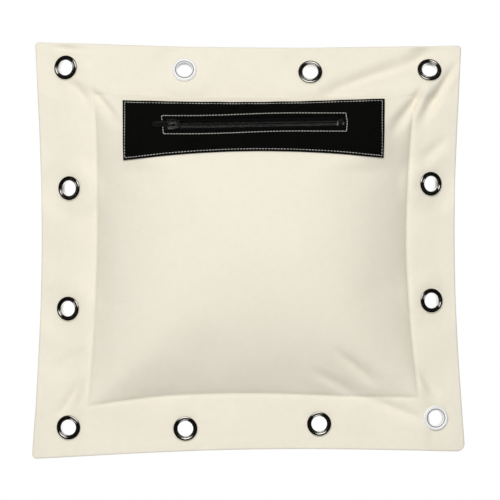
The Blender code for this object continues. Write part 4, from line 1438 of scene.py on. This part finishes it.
@dataclass
class Patch:
    """The black patch with its zip window, and the two lines of stitching on it."""

    pattern: Pattern
    wardrobe: Wardrobe
    stitching: Stitching
    corners: Corners = kept(
        {
            "top_left": (-0.1202, -0.0054),
            "top_right": (0.1288, -0.0030),
            "bottom_right": (0.1289, -0.0592),
            "bottom_left": (-0.1198, -0.0617),
        }
    )
    length: float = 0.249
    width: float = 0.0565
    mean_width: float = 0.0515
    bow_top: float = 0.0010
    bow_bottom: float = 0.0073
    cloth: float = 0.0008
    lift: float = 0.0008
    over_tape: float = 0.0003
    window_length: float = 0.1696
    window_width: float = 0.0130
    cell: float = 0.0014
    turn_radius: float = 0.0007
    seam_inset: float = 0.0022
    stitch_out: float = 0.0012
    stitch_side: float = 0.0035
    pitch: float = 0.0029

    def cut(self, across: Array, up: Array) -> tuple[Array, Array]:
        """Cut places under the patch, with across and up from 0 to 1."""
        right, rise = corner_blend(self.corners, across, up)
        bow = self.bow_bottom * (1 - up) - self.bow_top * up
        return right, self.pattern.seam[Side.TOP] + rise + np.sin(np.pi * across) * bow

    def surface(self, across: Array, up: Array, above: Array | float) -> Array:
        """Places at a height above the patch's rear face."""
        pattern = self.pattern
        cx, cz = self.cut(across, up)
        x, z = pattern.sewn(cx, cz)
        lift = self.lift + self.over_tape * pattern.held_by_tape(x, z, pattern.flat_margin)
        height = np.asarray(lift + above)
        return pattern.front(cx, cz) + pattern.front_normal(cx, cz) * height[:, None]

    def on_zip(self, points: Array) -> tuple[Array, Array]:
        """Places along and across the zip of world points."""
        back = np.array(self.pattern.zip_frame.inverted())
        local = points @ back[:3, :3].T + back[:3, 3]
        return local[:, 0], local[:, 1]

    def relief(self, edge: Array, along: Array, side: Array) -> tuple[Array, Array]:
        """Height of the patch's face over its plain cloth, and distance outside the window.

        Args:
            edge: distance from the patch's edge.
            along: place along the zip.
            side: place across the zip.

        Returns:
            The heights, and the distances, below 0 in the window.
        """
        gap = np.clip(self.turn_radius - edge, 0, self.turn_radius)
        fold = -(self.turn_radius - np.sqrt(self.turn_radius**2 - gap**2))
        fold = fold + 0.00030 * (1 - ease((edge - 0.0055) / 0.002))
        stitched = -0.00022 * bell(edge - self.seam_inset, 0.0008)
        out_x = np.abs(along) - self.window_length / 2
        out_y = np.abs(side) - self.window_width / 2
        off_window = np.maximum(out_x, out_y)
        puff = 0.00025 * (1 - ease((off_window - 0.0030) / 0.002))
        near = np.maximum(out_x - self.stitch_out, out_y - self.stitch_side)
        puff = puff - 0.00020 * bell(near, 0.0008)
        ripple = 0.00012 * np.sin(along * 210) * np.sin(side * 160 + 1)
        ripple = ripple * ease((off_window - 0.006) / 0.006)
        return self.cloth + fold + stitched + puff + ripple, off_window

    def on_rim(self, along: float, side: float) -> tuple[float, float]:
        """Nearest place on the window's rim, with its corners kept square."""
        half_x, half_y = self.window_length / 2, self.window_width / 2
        if abs(abs(along) - half_x) >= 0.0012:
            return np.clip(along, -half_x, half_x), math.copysign(half_y, side)
        if abs(abs(side) - half_y) < 0.0008:
            return math.copysign(half_x, along), math.copysign(half_y, side)
        return math.copysign(half_x, along), np.clip(side, -half_y, half_y)

    def cloth_piece(self) -> Piece:
        """Build the patch, its edges turned under and its window cut."""
        columns = lines_through(
            [0, 0.002, 0.005, 0.012, 0.988, 0.995, 0.998, 1], self.cell / self.length
        )
        rows = lines_through([0, 0.008, 0.02, 0.05, 0.95, 0.98, 0.992, 1], self.cell / self.width)
        across, up = grid_places(columns, rows)
        edge_x = np.minimum(across, 1 - across) * self.length
        edge = np.minimum(edge_x, np.minimum(up, 1 - up) * self.width)
        along, side = self.on_zip(self.surface(across, up, 0.0))
        relief, off_window = self.relief(edge, along, side)
        points = self.surface(across, up, relief)
        faces = grid_faces(len(columns), len(rows))
        corners = np.array(faces)
        gone = (off_window[corners].mean(axis=1)) < 0
        rim = np.intersect1d(corners[gone].ravel(), corners[~gone].ravel())
        frame = np.array(self.pattern.zip_frame)
        height = self.lift + self.over_tape + self.cloth + 0.0001
        for k in rim:
            place = np.array([*self.on_rim(along[k], side[k]), height])
            points[k] = frame[:3, 3] + frame[:3, :3] @ place
        faces = [face for face, out in zip(faces, gone) if not out]
        item = add_mesh("patch_cloth", points, faces, np.stack(self.cut(across, up), axis=-1))
        thicken(item, self.cloth)
        return item

    def perimeter(self) -> None:
        """Sew the patch round its edge."""
        in_x, in_z = self.seam_inset / self.length, self.seam_inset / self.width
        ring = dense_ring(
            [(in_x, in_z), (1 - in_x, in_z), (1 - in_x, 1 - in_z), (in_x, 1 - in_z)], 0.003
        )
        across, up = ring.T
        path = self.surface(across, up, self.cloth + 0.00002)
        normals = self.pattern.front_normal(*self.cut(across, up))
        self.stitching.row(
            "patch_stitches", "patch_seam_thread", path, normals, self.pitch, "grey_thread"
        )

    def zip_box(self) -> None:
        """Sew the box round the zip, not quite square, as it was guided by hand."""
        end = self.window_length / 2 + self.stitch_out
        side = self.window_width / 2 + self.stitch_side
        ring = dense_ring([(-end, -side), (end, -side), (end, side), (-end, side)], 0.0008)
        x, y = ring.T
        right = np.where(x > 0, 1.0, 0.0)
        bulge = right * 0.0010 * bell(y, 0.006) * ease((x - end + 0.004) / 0.004)
        x = x - 0.0014 * ease(x / end) + bulge
        rise = np.clip((y + side) / (2 * side), 0, 1)
        x = x - (1 - right) * 0.0016 * rise * ease((-x - end + 0.02) / 0.02)
        y = y + 0.0006 * np.sin(x * 45 + 0.6)
        height = self.lift + self.over_tape + self.cloth + 0.00008
        frame = np.array(self.pattern.zip_frame)
        local = np.stack([x, y, np.full_like(x, height)], axis=-1)
        path = local @ frame[:3, :3].T + frame[:3, 3]
        normals = np.tile(frame[:3, 2], (len(path), 1))
        self.stitching.row(
            "zip_stitches", "zip_seam_thread", path, normals, self.pitch, "grey_thread"
        )

    def build(self) -> None:
        item = self.cloth_piece()
        self.wardrobe.fit(item, "patch", "patch_cloth", "zip_patch")
        self.perimeter()
        self.zip_box()


@dataclass
class Zip:
    """The coil zip behind the patch's window, its slider and its pull."""

    pattern: Pattern
    wardrobe: Wardrobe
    window_length: float = 0.1696
    tape: float = 0.0005
    tape_back: float = 0.0003
    meeting_gap: float = 0.0003
    meeting_run: float = 0.0015
    coil_width: float = 0.0058
    coil_thickness: float = 0.0026
    coil_pitch: float = 0.0015
    loop_shares: Place = (0.72, 0.9, 0.86)
    tooth_reach: float = 0.0006
    slider_length: float = 0.0115
    plate: float = 0.0010
    side_wall: float = 0.00085
    spread: float = 0.0016
    clearance: float = 0.0003
    stop_length: float = 0.0018
    bottom_stop_length: float = 0.0040
    bottom_stop_inset: float = 0.0034
    bridge_length: float = 0.0068
    bridge_width: float = 0.0024
    bridge_height: float = 0.0029
    bridge_wall: float = 0.0009
    pull_length: float = 0.0200
    pull_width: float = 0.0058
    pull_thickness: float = 0.0012
    pull_bar: float = 0.0011
    pull_slot: float = 0.0050
    pull_droop: float = math.radians(3)
    wedge_blunt: float = 0.0020
    parting_run: float = 0.0042
    # Where the wedge starts and ends behind the slider's nose
    wedge: tuple[float, float] = (0.0006, 0.0034)
    wedge_width: float = 0.0014
    # Where the side walls start along the slider, and how far they stop short of its tail
    wall: tuple[float, float] = (-0.0003, 0.0011)
    gap: float = 0.0006
    # Ends along the pull, half width and depth of its sunk faces
    sunk_face: tuple[float, float, float, float] = (-0.0182, -0.0078, 0.0019, 0.0002)
    crisp_degrees: float = 40
    corner_radius: float = 0.0013
    edge_radius: float = 0.00030

    def __post_init__(self) -> None:
        """Work out the heights and places along the zip."""
        middle = self.tape_back + self.tape / 2
        self.coil_back = middle - self.coil_thickness / 2
        self.coil_front = middle + self.coil_thickness / 2
        self.plate_top = self.coil_front + self.clearance + self.plate
        self.plate_bottom = self.coil_back - self.clearance - self.plate
        self.stop_left = -self.window_length / 2 + self.clearance
        self.slider_x = self.stop_left + self.stop_length + self.clearance + self.slider_length / 2
        self.parted_from = self.slider_x - self.slider_length / 2 + self.wedge_blunt
        self.parted_from += self.clearance
        self.bottom_stop_right = self.window_length / 2 - self.bottom_stop_inset
        self.bottom_stop_left = self.bottom_stop_right - self.bottom_stop_length
        self.nose = self.coil_width / 2 + self.spread + self.clearance + self.side_wall
        self.tail = self.nose - self.spread
        self.hinge_height = self.plate_top + (self.bridge_height - self.bridge_wall) / 2

    def parted(self, x: Array | float) -> Array:
        """How far the slider's wedge has parted a row from the zip's line."""
        return self.spread * ease((self.parted_from + self.parting_run - x) / self.parting_run)

    def tapes(self) -> None:
        """Build the two woven tapes, each with a thicker beaded edge behind its coil."""
        half = self.pattern.tape_length / 2
        columns = np.linspace(-half, half, 140)
        inner = self.coil_width / 2 + self.clearance
        rows = np.array([0.0, 0.04, 0.12, 0.22, 0.34, 0.48, 0.62, 0.76, 0.9, 0.97, 1.0])
        frame = self.pattern.zip_frame
        for side, sign in (("upper", 1), ("lower", -1)):
            x, share = grid_places(columns, rows)
            near = inner + self.parted(x)
            past = x - self.bottom_stop_right - self.clearance
            near = near - (inner - self.meeting_gap) * ease(past / self.meeting_run)
            y = sign * (near + (self.pattern.tape_reach - near) * share)
            z = np.full_like(x, self.tape_back + self.tape)
            points = np.stack([x, y, z], axis=-1)
            faces = grid_faces(len(columns), len(rows), turned=sign < 0)
            item = add_mesh("tape_cloth_" + side, points, faces, np.stack([x, y], axis=-1))
            thicken(item, self.tape)
            item.data.transform(frame)
            self.wardrobe.fit(item, "tape", "zip_tape", "zip_tape_" + side)

    def coil_loop(self) -> Piece:
        """Model one loop of the nylon coil, its rounded head towards the zip's line at -Y."""
        add = bpy.ops.mesh.primitive_uv_sphere_add
        item = primitive("coil_loop", add, segments=8, ring_count=6, radius=0.5)
        with shaping(item):
            bpy.ops.transform.rotate(value=math.pi / 2, orient_axis="X", center_override=(0, 0, 0))
            long, wide, thick = self.loop_shares
            resize((self.coil_pitch * long, self.coil_pitch * wide, self.coil_thickness * thick))
            bm = bmesh.from_edit_mesh(item.data)
            length = self.coil_width / 2 + self.tooth_reach
            for vertex in bm.verts:
                toward = -self.tooth_reach + self.coil_pitch * 0.45
                vertex.co.y += toward if vertex.co.y < 0.00001 else length - self.coil_pitch
        return item

    def coils(self) -> None:
        """Lay the coil's loops along both tapes, the lower row half a pitch on."""
        left = self.stop_left + self.stop_length + self.clearance
        right = self.bottom_stop_left - self.clearance
        shape, quads = discard(self.coil_loop())
        middle = self.tape_back + self.tape / 2
        for side, sign, shift in (("upper", 1, 0.5), ("lower", -1, 1.0)):
            first, past = left + self.coil_pitch * shift, right - self.coil_pitch * 0.4
            copies = []
            for x in np.arange(first, past, self.coil_pitch):
                copies.append(shape + np.array([x, float(self.parted(x)), middle]))
                copies[-1][:, 1] *= sign
            item = add_copies("coil_" + side, copies, [quad[::sign] for quad in quads])
            item.data.transform(self.pattern.zip_frame)
            self.wardrobe.fit(item, "coil", "zip_teeth", "zip_teeth_" + side)
            log.info("%s: %d loops", item.name, len(copies))

    def block(self, name: str, low: Place, high: Place, rounding: float) -> Piece:
        """Cast block between two corners, with its edges rounded and a shallow sunk face.

        Args:
            name: the piece's name.
            low: lowest corner in the zip's frame.
            high: highest corner.
            rounding: radius of its edges.

        Returns:
            The block, in the zip's frame.
        """
        size = [b - a for a, b in zip(low, high)]
        item = box(name, size)
        with shaping(item):
            bpy.ops.mesh.bevel(offset=rounding, segments=3, affect="EDGES")
            top = size[2] / 2 - TINY
            choose(item, "faces", lambda f: f.calc_center_median().z > top)
            bpy.ops.mesh.inset(thickness=rounding * 0.6, depth=-rounding * 0.35)
        item.data.transform(Matrix.Translation([(a + b) / 2 for a, b in zip(low, high)]))
        item.data.shade_smooth()
        return item

    def stops(self) -> None:
        """Model the two top stops and the bottom stop."""
        low = self.clearance + self.spread - self.tooth_reach
        high = self.coil_width / 2 + self.spread
        right = self.stop_left + self.stop_length
        reach = self.coil_width / 2
        end = self.bottom_stop_right
        for name, node, near, far in (
            ("top_clamp_upper", "zip_top_stop_upper", (self.stop_left, low), (right, high)),
            ("top_clamp_lower", "zip_top_stop_lower", (self.stop_left, -high), (right, -low)),
            ("bottom_clamp", "zip_bottom_stop", (self.bottom_stop_left, -reach), (end, reach)),
        ):
            item = self.block(name, (*near, self.coil_back), (*far, self.coil_front), 0.00035)
            settle(item, self.pattern.zip_frame)
            self.wardrobe.fit(item, "coil", "black_metal", node)

    def slider_plate(self, name: str, low: float, high: float) -> Piece:
        """Slider plate, wide at its nose and narrow at its tail, with rounded corners and edges."""
        half, flat, narrow = self.slider_length / 2, (high - low) / 2, self.tail / self.nose
        item = box(name, (2 * half, 2 * self.nose, high - low))
        with shaping(item):
            slice_across(-0.12 * half, 0.55 * half)
            for share in (0.55, 1.0):
                choose(item, "verts", lambda v, s=share: abs(v.co.x - s * half) < TINY)
                resize((1, narrow, 1), (share * half, 0, 0))
            round_off(
                item,
                lambda e: abs(abs(e.verts[0].co.x) - half) < TINY and upright(e),
                self.corner_radius,
                segments=5,
            )
            round_off(
                item,
                lambda e: all(abs(abs(v.co.z) - flat) < TINY for v in e.verts) and sharp(e),
                self.edge_radius,
            )
        item.data.transform(Matrix.Translation((0, 0, (low + high) / 2)))
        item.data.shade_smooth()
        return item

    def bridge(self) -> Piece:
        """Bridge over the slider's front, under which the pull's bar is held."""
        reach = self.bridge_length / 2
        foot = reach - self.bridge_wall
        item = box("slider_bridge", (self.bridge_length, self.bridge_width, self.bridge_wall))
        with shaping(item):
            slice_across(-foot, foot)
            choose(
                item,
                "faces",
                lambda f: f.normal.z < -0.9 and abs(f.calc_center_median().x) > foot,
            )
            down = self.bridge_height - self.bridge_wall + self.plate / 2
            bpy.ops.mesh.extrude_region_move(TRANSFORM_OT_translate={"value": (0, 0, -down)})
            round_off(item, sharp, self.edge_radius)
        top = self.plate_top + self.bridge_height
        item.data.transform(Matrix.Translation((0, 0, top - self.bridge_wall / 2)))
        item.data.shade_smooth()
        return item

    def finish(self, item: Piece, place: Matrix) -> None:
        """Put a metal piece in its place in the zip's frame, with its sharper edges crisp."""
        settle(item, self.pattern.zip_frame @ place)
        pick(item)
        bpy.ops.object.shade_smooth_by_angle(angle=math.radians(self.crisp_degrees))

    def slider(self) -> None:
        """Model the slider: two plates, side walls, the wedge between the rows, and the bridge."""
        half, deep = self.slider_length / 2, self.plate / 2
        rear, front = self.plate_bottom + deep, self.plate_top - deep
        body = self.slider_plate("slider_body", self.plate_top - self.plate, self.plate_top)
        (start, end), side = self.wedge, self.wedge_width / 2
        wedge = ((start - half, -side, rear), (end - half, side, front), 0.0003)
        parts = [
            self.slider_plate("slider_rear", self.plate_bottom, self.plate_bottom + self.plate),
            self.bridge(),
            self.block("slider_wedge", *wedge),
        ]
        tape_middle = self.tape_back + self.tape / 2
        for sign in (1, -1):
            near, far = sorted((sign * (self.tail - self.side_wall), sign * self.tail))
            for low, high in ((rear, tape_middle - self.gap), (tape_middle + self.gap, front)):
                wall = ((self.wall[0], near, low), (half - self.wall[1], far, high), 0.00022)
                parts.append(self.block("slider_wall", *wall))
        pick(body)
        for part in parts:
            part.select_set(True)
        bpy.ops.object.join()
        body.data.shade_smooth()
        self.finish(body, Matrix.Translation((self.slider_x, 0, 0)))
        self.wardrobe.fit(body, "plate", "black_metal", "zip_slider", "slider")

    def pull(self) -> None:
        """Model the pull: a thin tab with a rounded end, a slot for the bridge and a sunk face."""
        half, bar, flat = self.pull_width / 2, self.pull_bar / 2, self.pull_thickness / 2
        length = self.pull_length + bar
        item = box("pull_tab", (length, 2 * half, self.pull_thickness))
        with shaping(item):
            bpy.ops.transform.translate(value=(bar - length / 2, 0, 0))
            far = -0.01
            round_off(item, lambda e: upright(e) and e.verts[0].co.x < far, half * 0.80, 7)
            round_off(item, lambda e: upright(e) and e.verts[0].co.x > far, bar * 0.9)
        side, past = (self.bridge_width + self.pull_thickness) / 2, 0.002
        slot = ((-bar - self.pull_slot, -side, -past), (-bar, side, past), 0.0004)
        cutters = [self.block("pull_slot", *slot)]
        start, end, side, depth = self.sunk_face
        for sign in (1, -1):
            low, high = sorted((sign * (flat - depth), sign * past))
            face = ((start, -side, low), (end, side, high), 0.0003)
            cutters.append(self.block("pull_face", *face))
        for cutter in cutters:
            run_modifier(item, "BOOLEAN", operation="DIFFERENCE", solver="EXACT", object=cutter)
            discard(cutter)
        angle = math.radians(50)
        run_modifier(
            item, "BEVEL", width=0.00016, segments=2, limit_method="ANGLE", angle_limit=angle
        )
        droop = Matrix.Rotation(-self.pull_droop, 4, "Y")
        hinge = Matrix.Translation((self.slider_x, 0, self.hinge_height))
        self.finish(item, hinge @ droop)
        self.wardrobe.fit(item, "enamel", "black_metal", "zip_pull", "pull")

    def build(self) -> None:
        """Build every piece of the zip."""
        self.tapes()
        self.coils()
        self.stops()
        self.slider()
        self.pull()


def turns(whole: float, steps: int, inner: bool = False) -> Section:
    """Sine and cosine of even steps through an angle, left off at its ends for inner ones."""
    marks = range(1, steps) if inner else range(steps + 1)
    return [(math.sin(whole * k / steps), math.cos(whole * k / steps)) for k in marks]


@dataclass
class Eyelets:
    """The twelve eyelets, each with its barrel rolled over a washer behind the canvas."""

    pattern: Pattern
    wardrobe: Wardrobe
    bore: float = 0.00725
    barrel_wall: float = 0.00065
    rim: float = 0.01175
    rim_height: float = 0.0020
    crest_share: float = 0.62
    groove_share: float = 0.30
    groove_height: float = 0.55
    bead_height: float = 0.30
    lip: float = 0.0003
    skirt: float = 0.00012
    roll_height: float = 0.0004
    washer: float = 0.0115
    washer_thickness: float = 0.0009
    roll: float = 0.0014
    roll_thickness: float = 0.0005
    clearance: float = 0.0003
    steps: int = 72
    # The eyelets painted near white, as a painted reflection.
    painted_white: tuple[str, ...] = ("top_centre_left", "bottom_right")

    def turned(self, name: str, profile: Section) -> Piece:
        """Turn a ring from a closed profile.

        Args:
            name: the piece's name.
            profile: radius and height of each point, in order.

        Returns:
            The ring, about its own Z axis.
        """
        add = bpy.ops.mesh.primitive_circle_add
        item = primitive(name, add, vertices=len(profile), radius=0.001)
        for vertex, (radius, height) in zip(item.data.vertices, profile):
            vertex.co = (radius, 0, height)
        whole = 2 * math.pi
        with shaping(item):
            bpy.ops.mesh.spin(steps=self.steps, angle=whole, center=(0, 0, 0), axis=(0, 0, 1))
            bpy.ops.mesh.select_all(action="SELECT")
            bpy.ops.mesh.remove_doubles(threshold=0.000005)
            bpy.ops.mesh.normals_make_consistent(inside=False)
        layer = item.data.uv_layers.new(name="ring")
        for loop in item.data.loops:
            place = item.data.vertices[loop.vertex_index].co
            radius = math.hypot(place.x, place.y)
            layer.data[loop.index].uv = (radius / self.rim, place.z / self.rim_height)
        item.data.shade_smooth()
        return item

    def eyelet_profile(self) -> Section:
        """Section through an eyelet: domed rim, barrel, and the roll behind the washer."""
        washer_rear = -self.pattern.two_layers - self.clearance - self.washer_thickness
        roll_top = washer_rear - self.clearance
        barrel = self.bore + self.barrel_wall
        crest = self.bore + self.crest_share * (self.rim - self.bore)
        groove = self.bore + self.groove_share * (self.rim - self.bore)
        low = self.groove_height * self.rim_height
        top = self.rim_height - low
        right_angle = math.pi / 2
        section = [(crest - (crest - groove) * s, low + top * c) for s, c in turns(right_angle, 6)]
        half, bead = (groove - self.bore) / 2, self.bead_height * self.rim_height
        arc = turns(math.pi, 9, inner=True)
        section += [(groove - half * (1 - c), low + bead * s) for s, c in arc]
        rear = roll_top - 1.5 * self.roll_thickness + self.roll_height
        section += [(self.bore, z) for z in np.linspace(low - 0.0002, rear, 5)]
        half = (barrel + self.roll - self.bore) / 2
        arc = turns(math.pi, 12, inner=True)
        section += [(self.bore + half - half * c, rear - self.roll_height * s) for s, c in arc]
        section += [(barrel + self.roll, rear + 0.0002), (barrel + 0.0001, roll_top)]
        section += [(barrel, washer_rear), (barrel, 0.0), (barrel + 0.0002, self.skirt)]
        edge, lip = self.skirt + self.lip, self.lip
        section.append((self.rim - lip - 0.0001, self.skirt))
        arc = turns(right_angle, 4)
        section += [(self.rim - lip + lip * s, edge - lip * c) for s, c in arc]
        rise, run = self.rim_height - edge, self.rim - crest
        arc = turns(right_angle, 9, inner=True)
        return section + [(crest + run * c**0.9, edge + rise * s) for s, c in arc]

    def washer_profile(self) -> Section:
        """Section through a washer: dished, with rounded edges."""
        front = -self.pattern.two_layers - self.clearance / 2
        rear = front - self.washer_thickness
        inner = self.bore + self.barrel_wall + 0.0003
        soft = 0.0003
        return [
            (inner, front),
            (self.washer - soft, front),
            (self.washer, front - soft),
            (self.washer, rear + soft),
            (self.washer - soft * 0.3, rear + soft * 0.3),
            (self.washer - soft, rear),
            (inner + 0.0012, rear + 0.0001),
            (inner, rear + 0.0002),
        ]

    def frame_at(self, cx: float, cz: float) -> Matrix:
        """Frame on the flange's front face, +Z outward, as the punched hole lies."""
        pattern = self.pattern

        def plain(px: float, pz: float) -> Vector:
            """Place on the flange before it ripples."""
            x, z = pattern.sewn(np.array(px), np.array(pz))
            return Vector((float(x), pattern.seam_y + float(pattern.lean(px, pz)), float(z)))

        reach = self.bore
        x_axis = (plain(cx + reach, cz) - plain(cx - reach, cz)).normalized()
        z_axis = x_axis.cross(plain(cx, cz + reach) - plain(cx, cz - reach)).normalized()
        turn = Matrix((x_axis, z_axis.cross(x_axis), z_axis)).transposed().to_4x4()
        return Matrix.Translation(plain(cx, cz)) @ turn

    def build(self) -> None:
        """Copy one eyelet and one washer to the twelve holes."""
        eyelet = self.turned("eyelet_master", self.eyelet_profile())
        washer = self.turned("washer_master", self.washer_profile())
        for name, (cx, cz) in self.pattern.holes.items():
            frame = self.frame_at(cx, cz)
            # Two eyelets take the near-white painted reflection in place of bright nickel.
            plating = Plating.SATIN if name in self.painted_white else Plating.BRIGHT
            for master, piece, node in (
                (eyelet, "eyelet_" + name, "grommet_" + name),
                (washer, "ring_" + name, "washer_" + name),
            ):
                item = twin(master, piece, frame)
                self.wardrobe.fit(item, plating.value, "eyelet_metal", node)
        discard(eyelet)
        discard(washer)


# ---------------------------------------------------------------------------------------
# Studio
# ---------------------------------------------------------------------------------------


@dataclass
class Studio:
    """Camera at the photo's angle, soft lights, pale floor and white surroundings."""

    distance: float = 3.5
    seen_width: float = 0.470
    plane: float = -0.016
    aim: tuple[float, float] = (0.0014, 0.0005)
    key_place: tuple[float, float, float] = (-0.31, -3.10, 1.24)
    key_size: float = 1.6
    key_power: float = 90.0
    ambient: float = 0.31
    # The window that metal mirrors: the angles where it starts and is full, and its level
    window_degrees: tuple[float, float] = (17.0, 10.0)
    window_level: float = 2.2
    room_levels: tuple[float, float] = (0.004, 0.012)
    floor_z: float = -1.10

    def camera(self) -> None:
        """Place the camera square to the bag, as in the photo."""
        data = bpy.data.cameras.new("camera")
        data.sensor_width = 36.0
        data.lens = data.sensor_width * self.distance / self.seen_width
        data.clip_start = 0.05
        data.clip_end = 30.0
        item = bpy.data.objects.new("camera", data)
        item.location = (self.aim[0], self.plane - self.distance, self.aim[1])
        item.rotation_euler = (math.pi / 2, 0, 0)
        bpy.context.scene.collection.objects.link(item)
        bpy.context.scene.camera = item

    def lamp(self, name: str, place: tuple[float, float, float], size: float, power: float) -> None:
        """Square soft light aimed at the bag."""
        data = bpy.data.lights.new(name, "AREA")
        data.shape = "SQUARE"
        data.size = size
        data.energy = power
        item = bpy.data.objects.new(name, data)
        item.location = place
        item.rotation_euler = Vector(place).to_track_quat("Z", "Y").to_euler()
        item.visible_glossy = False
        bpy.context.scene.collection.objects.link(item)

    def world(self) -> None:
        """White round the bag for the camera and in metal, and a plain level of light."""
        world = bpy.data.worlds.new("studio")
        world.use_nodes = True
        bpy.context.scene.world = world
        tree = world.node_tree
        tree.nodes.clear()
        bench = NodeBench(tree)
        path = bench.add("LightPath")
        rays = (path.outputs["Is Camera Ray"], path.outputs["Is Transmission Ray"])
        seen = bench.maths("MAXIMUM", *rays)
        facing = bench.add("TexCoord").outputs["Generated"]
        way = bench.add("SeparateXYZ", {0: facing})
        behind = bench.spread(way.outputs[1], 0.45, 0.75, 0.0, 1.0)
        above = bench.spread(way.outputs[2], -0.4, 0.9, *self.room_levels)
        scale = tuple(Vector(self.key_place).normalized())
        toward = bench.add("Mapping", {"Vector": facing, "Scale": scale}).outputs[0]
        x, y, z = bench.add("SeparateXYZ", {0: toward}).outputs
        near = bench.maths("ADD", bench.maths("ADD", x, y), z)
        near_edge, full = (math.cos(math.radians(angle)) for angle in self.window_degrees)
        window = bench.spread(near, near_edge, full, 0.0, self.window_level)
        mirrored = bench.maths("MAXIMUM", bench.maths("MAXIMUM", behind, above), window)
        glossy = path.outputs["Is Glossy Ray"]
        other = bench.maths("SUBTRACT", 1.0, glossy)
        plain = bench.maths("MULTIPLY", other, self.ambient)
        level = bench.maths("MULTIPLY_ADD", glossy, mirrored, plain)
        level = bench.maths("MAXIMUM", level, seen)
        back = bench.add("Background", {"Color": (1, 1, 1, 1), "Strength": level})
        out = bench.add("OutputWorld", {"Surface": back.outputs[0]})
        out.location = (1400, 0)

    def floor(self) -> None:
        """Plain pale floor, out of the photo's view."""
        add = bpy.ops.mesh.primitive_plane_add
        item = primitive("studio_floor", add, size=3.0, location=(0, 0, self.floor_z))
        settle(item, Matrix())
        bench, shader = start_material("pale_floor")
        place = bench.add("TexCoord").outputs["Object"]
        tone = bench.noise(place, 3.0, 3.0)
        colour = bench.blend(tone, (0.86, 0.86, 0.86), (0.90, 0.90, 0.90))
        bench.feed(shader, {"Base Color": colour, "Roughness": 0.85})
        item.data.materials.append(bpy.data.materials["pale_floor"])
        item.visible_glossy = False

    def build(self) -> None:
        """Set up the whole studio."""
        bpy.context.scene.view_settings.view_transform = "Standard"
        self.camera()
        self.lamp("key", self.key_place, self.key_size, self.key_power)
        self.world()
        self.floor()


def main() -> None:
    """Load the frame and build every sub-assembly in order."""
    logging.basicConfig(level=logging.INFO, format="%(name)s: %(message)s")
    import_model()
    Studio().build()
    pattern = Pattern()
    wardrobe = Wardrobe()
    Shell(pattern, wardrobe).build()
    stitching = Stitching(pattern, wardrobe)
    stitching.chamber()
    Patch(pattern, wardrobe, stitching).build()
    Zip(pattern, wardrobe).build()
    Eyelets(pattern, wardrobe).build()


if __name__ == "__main__":
    main()
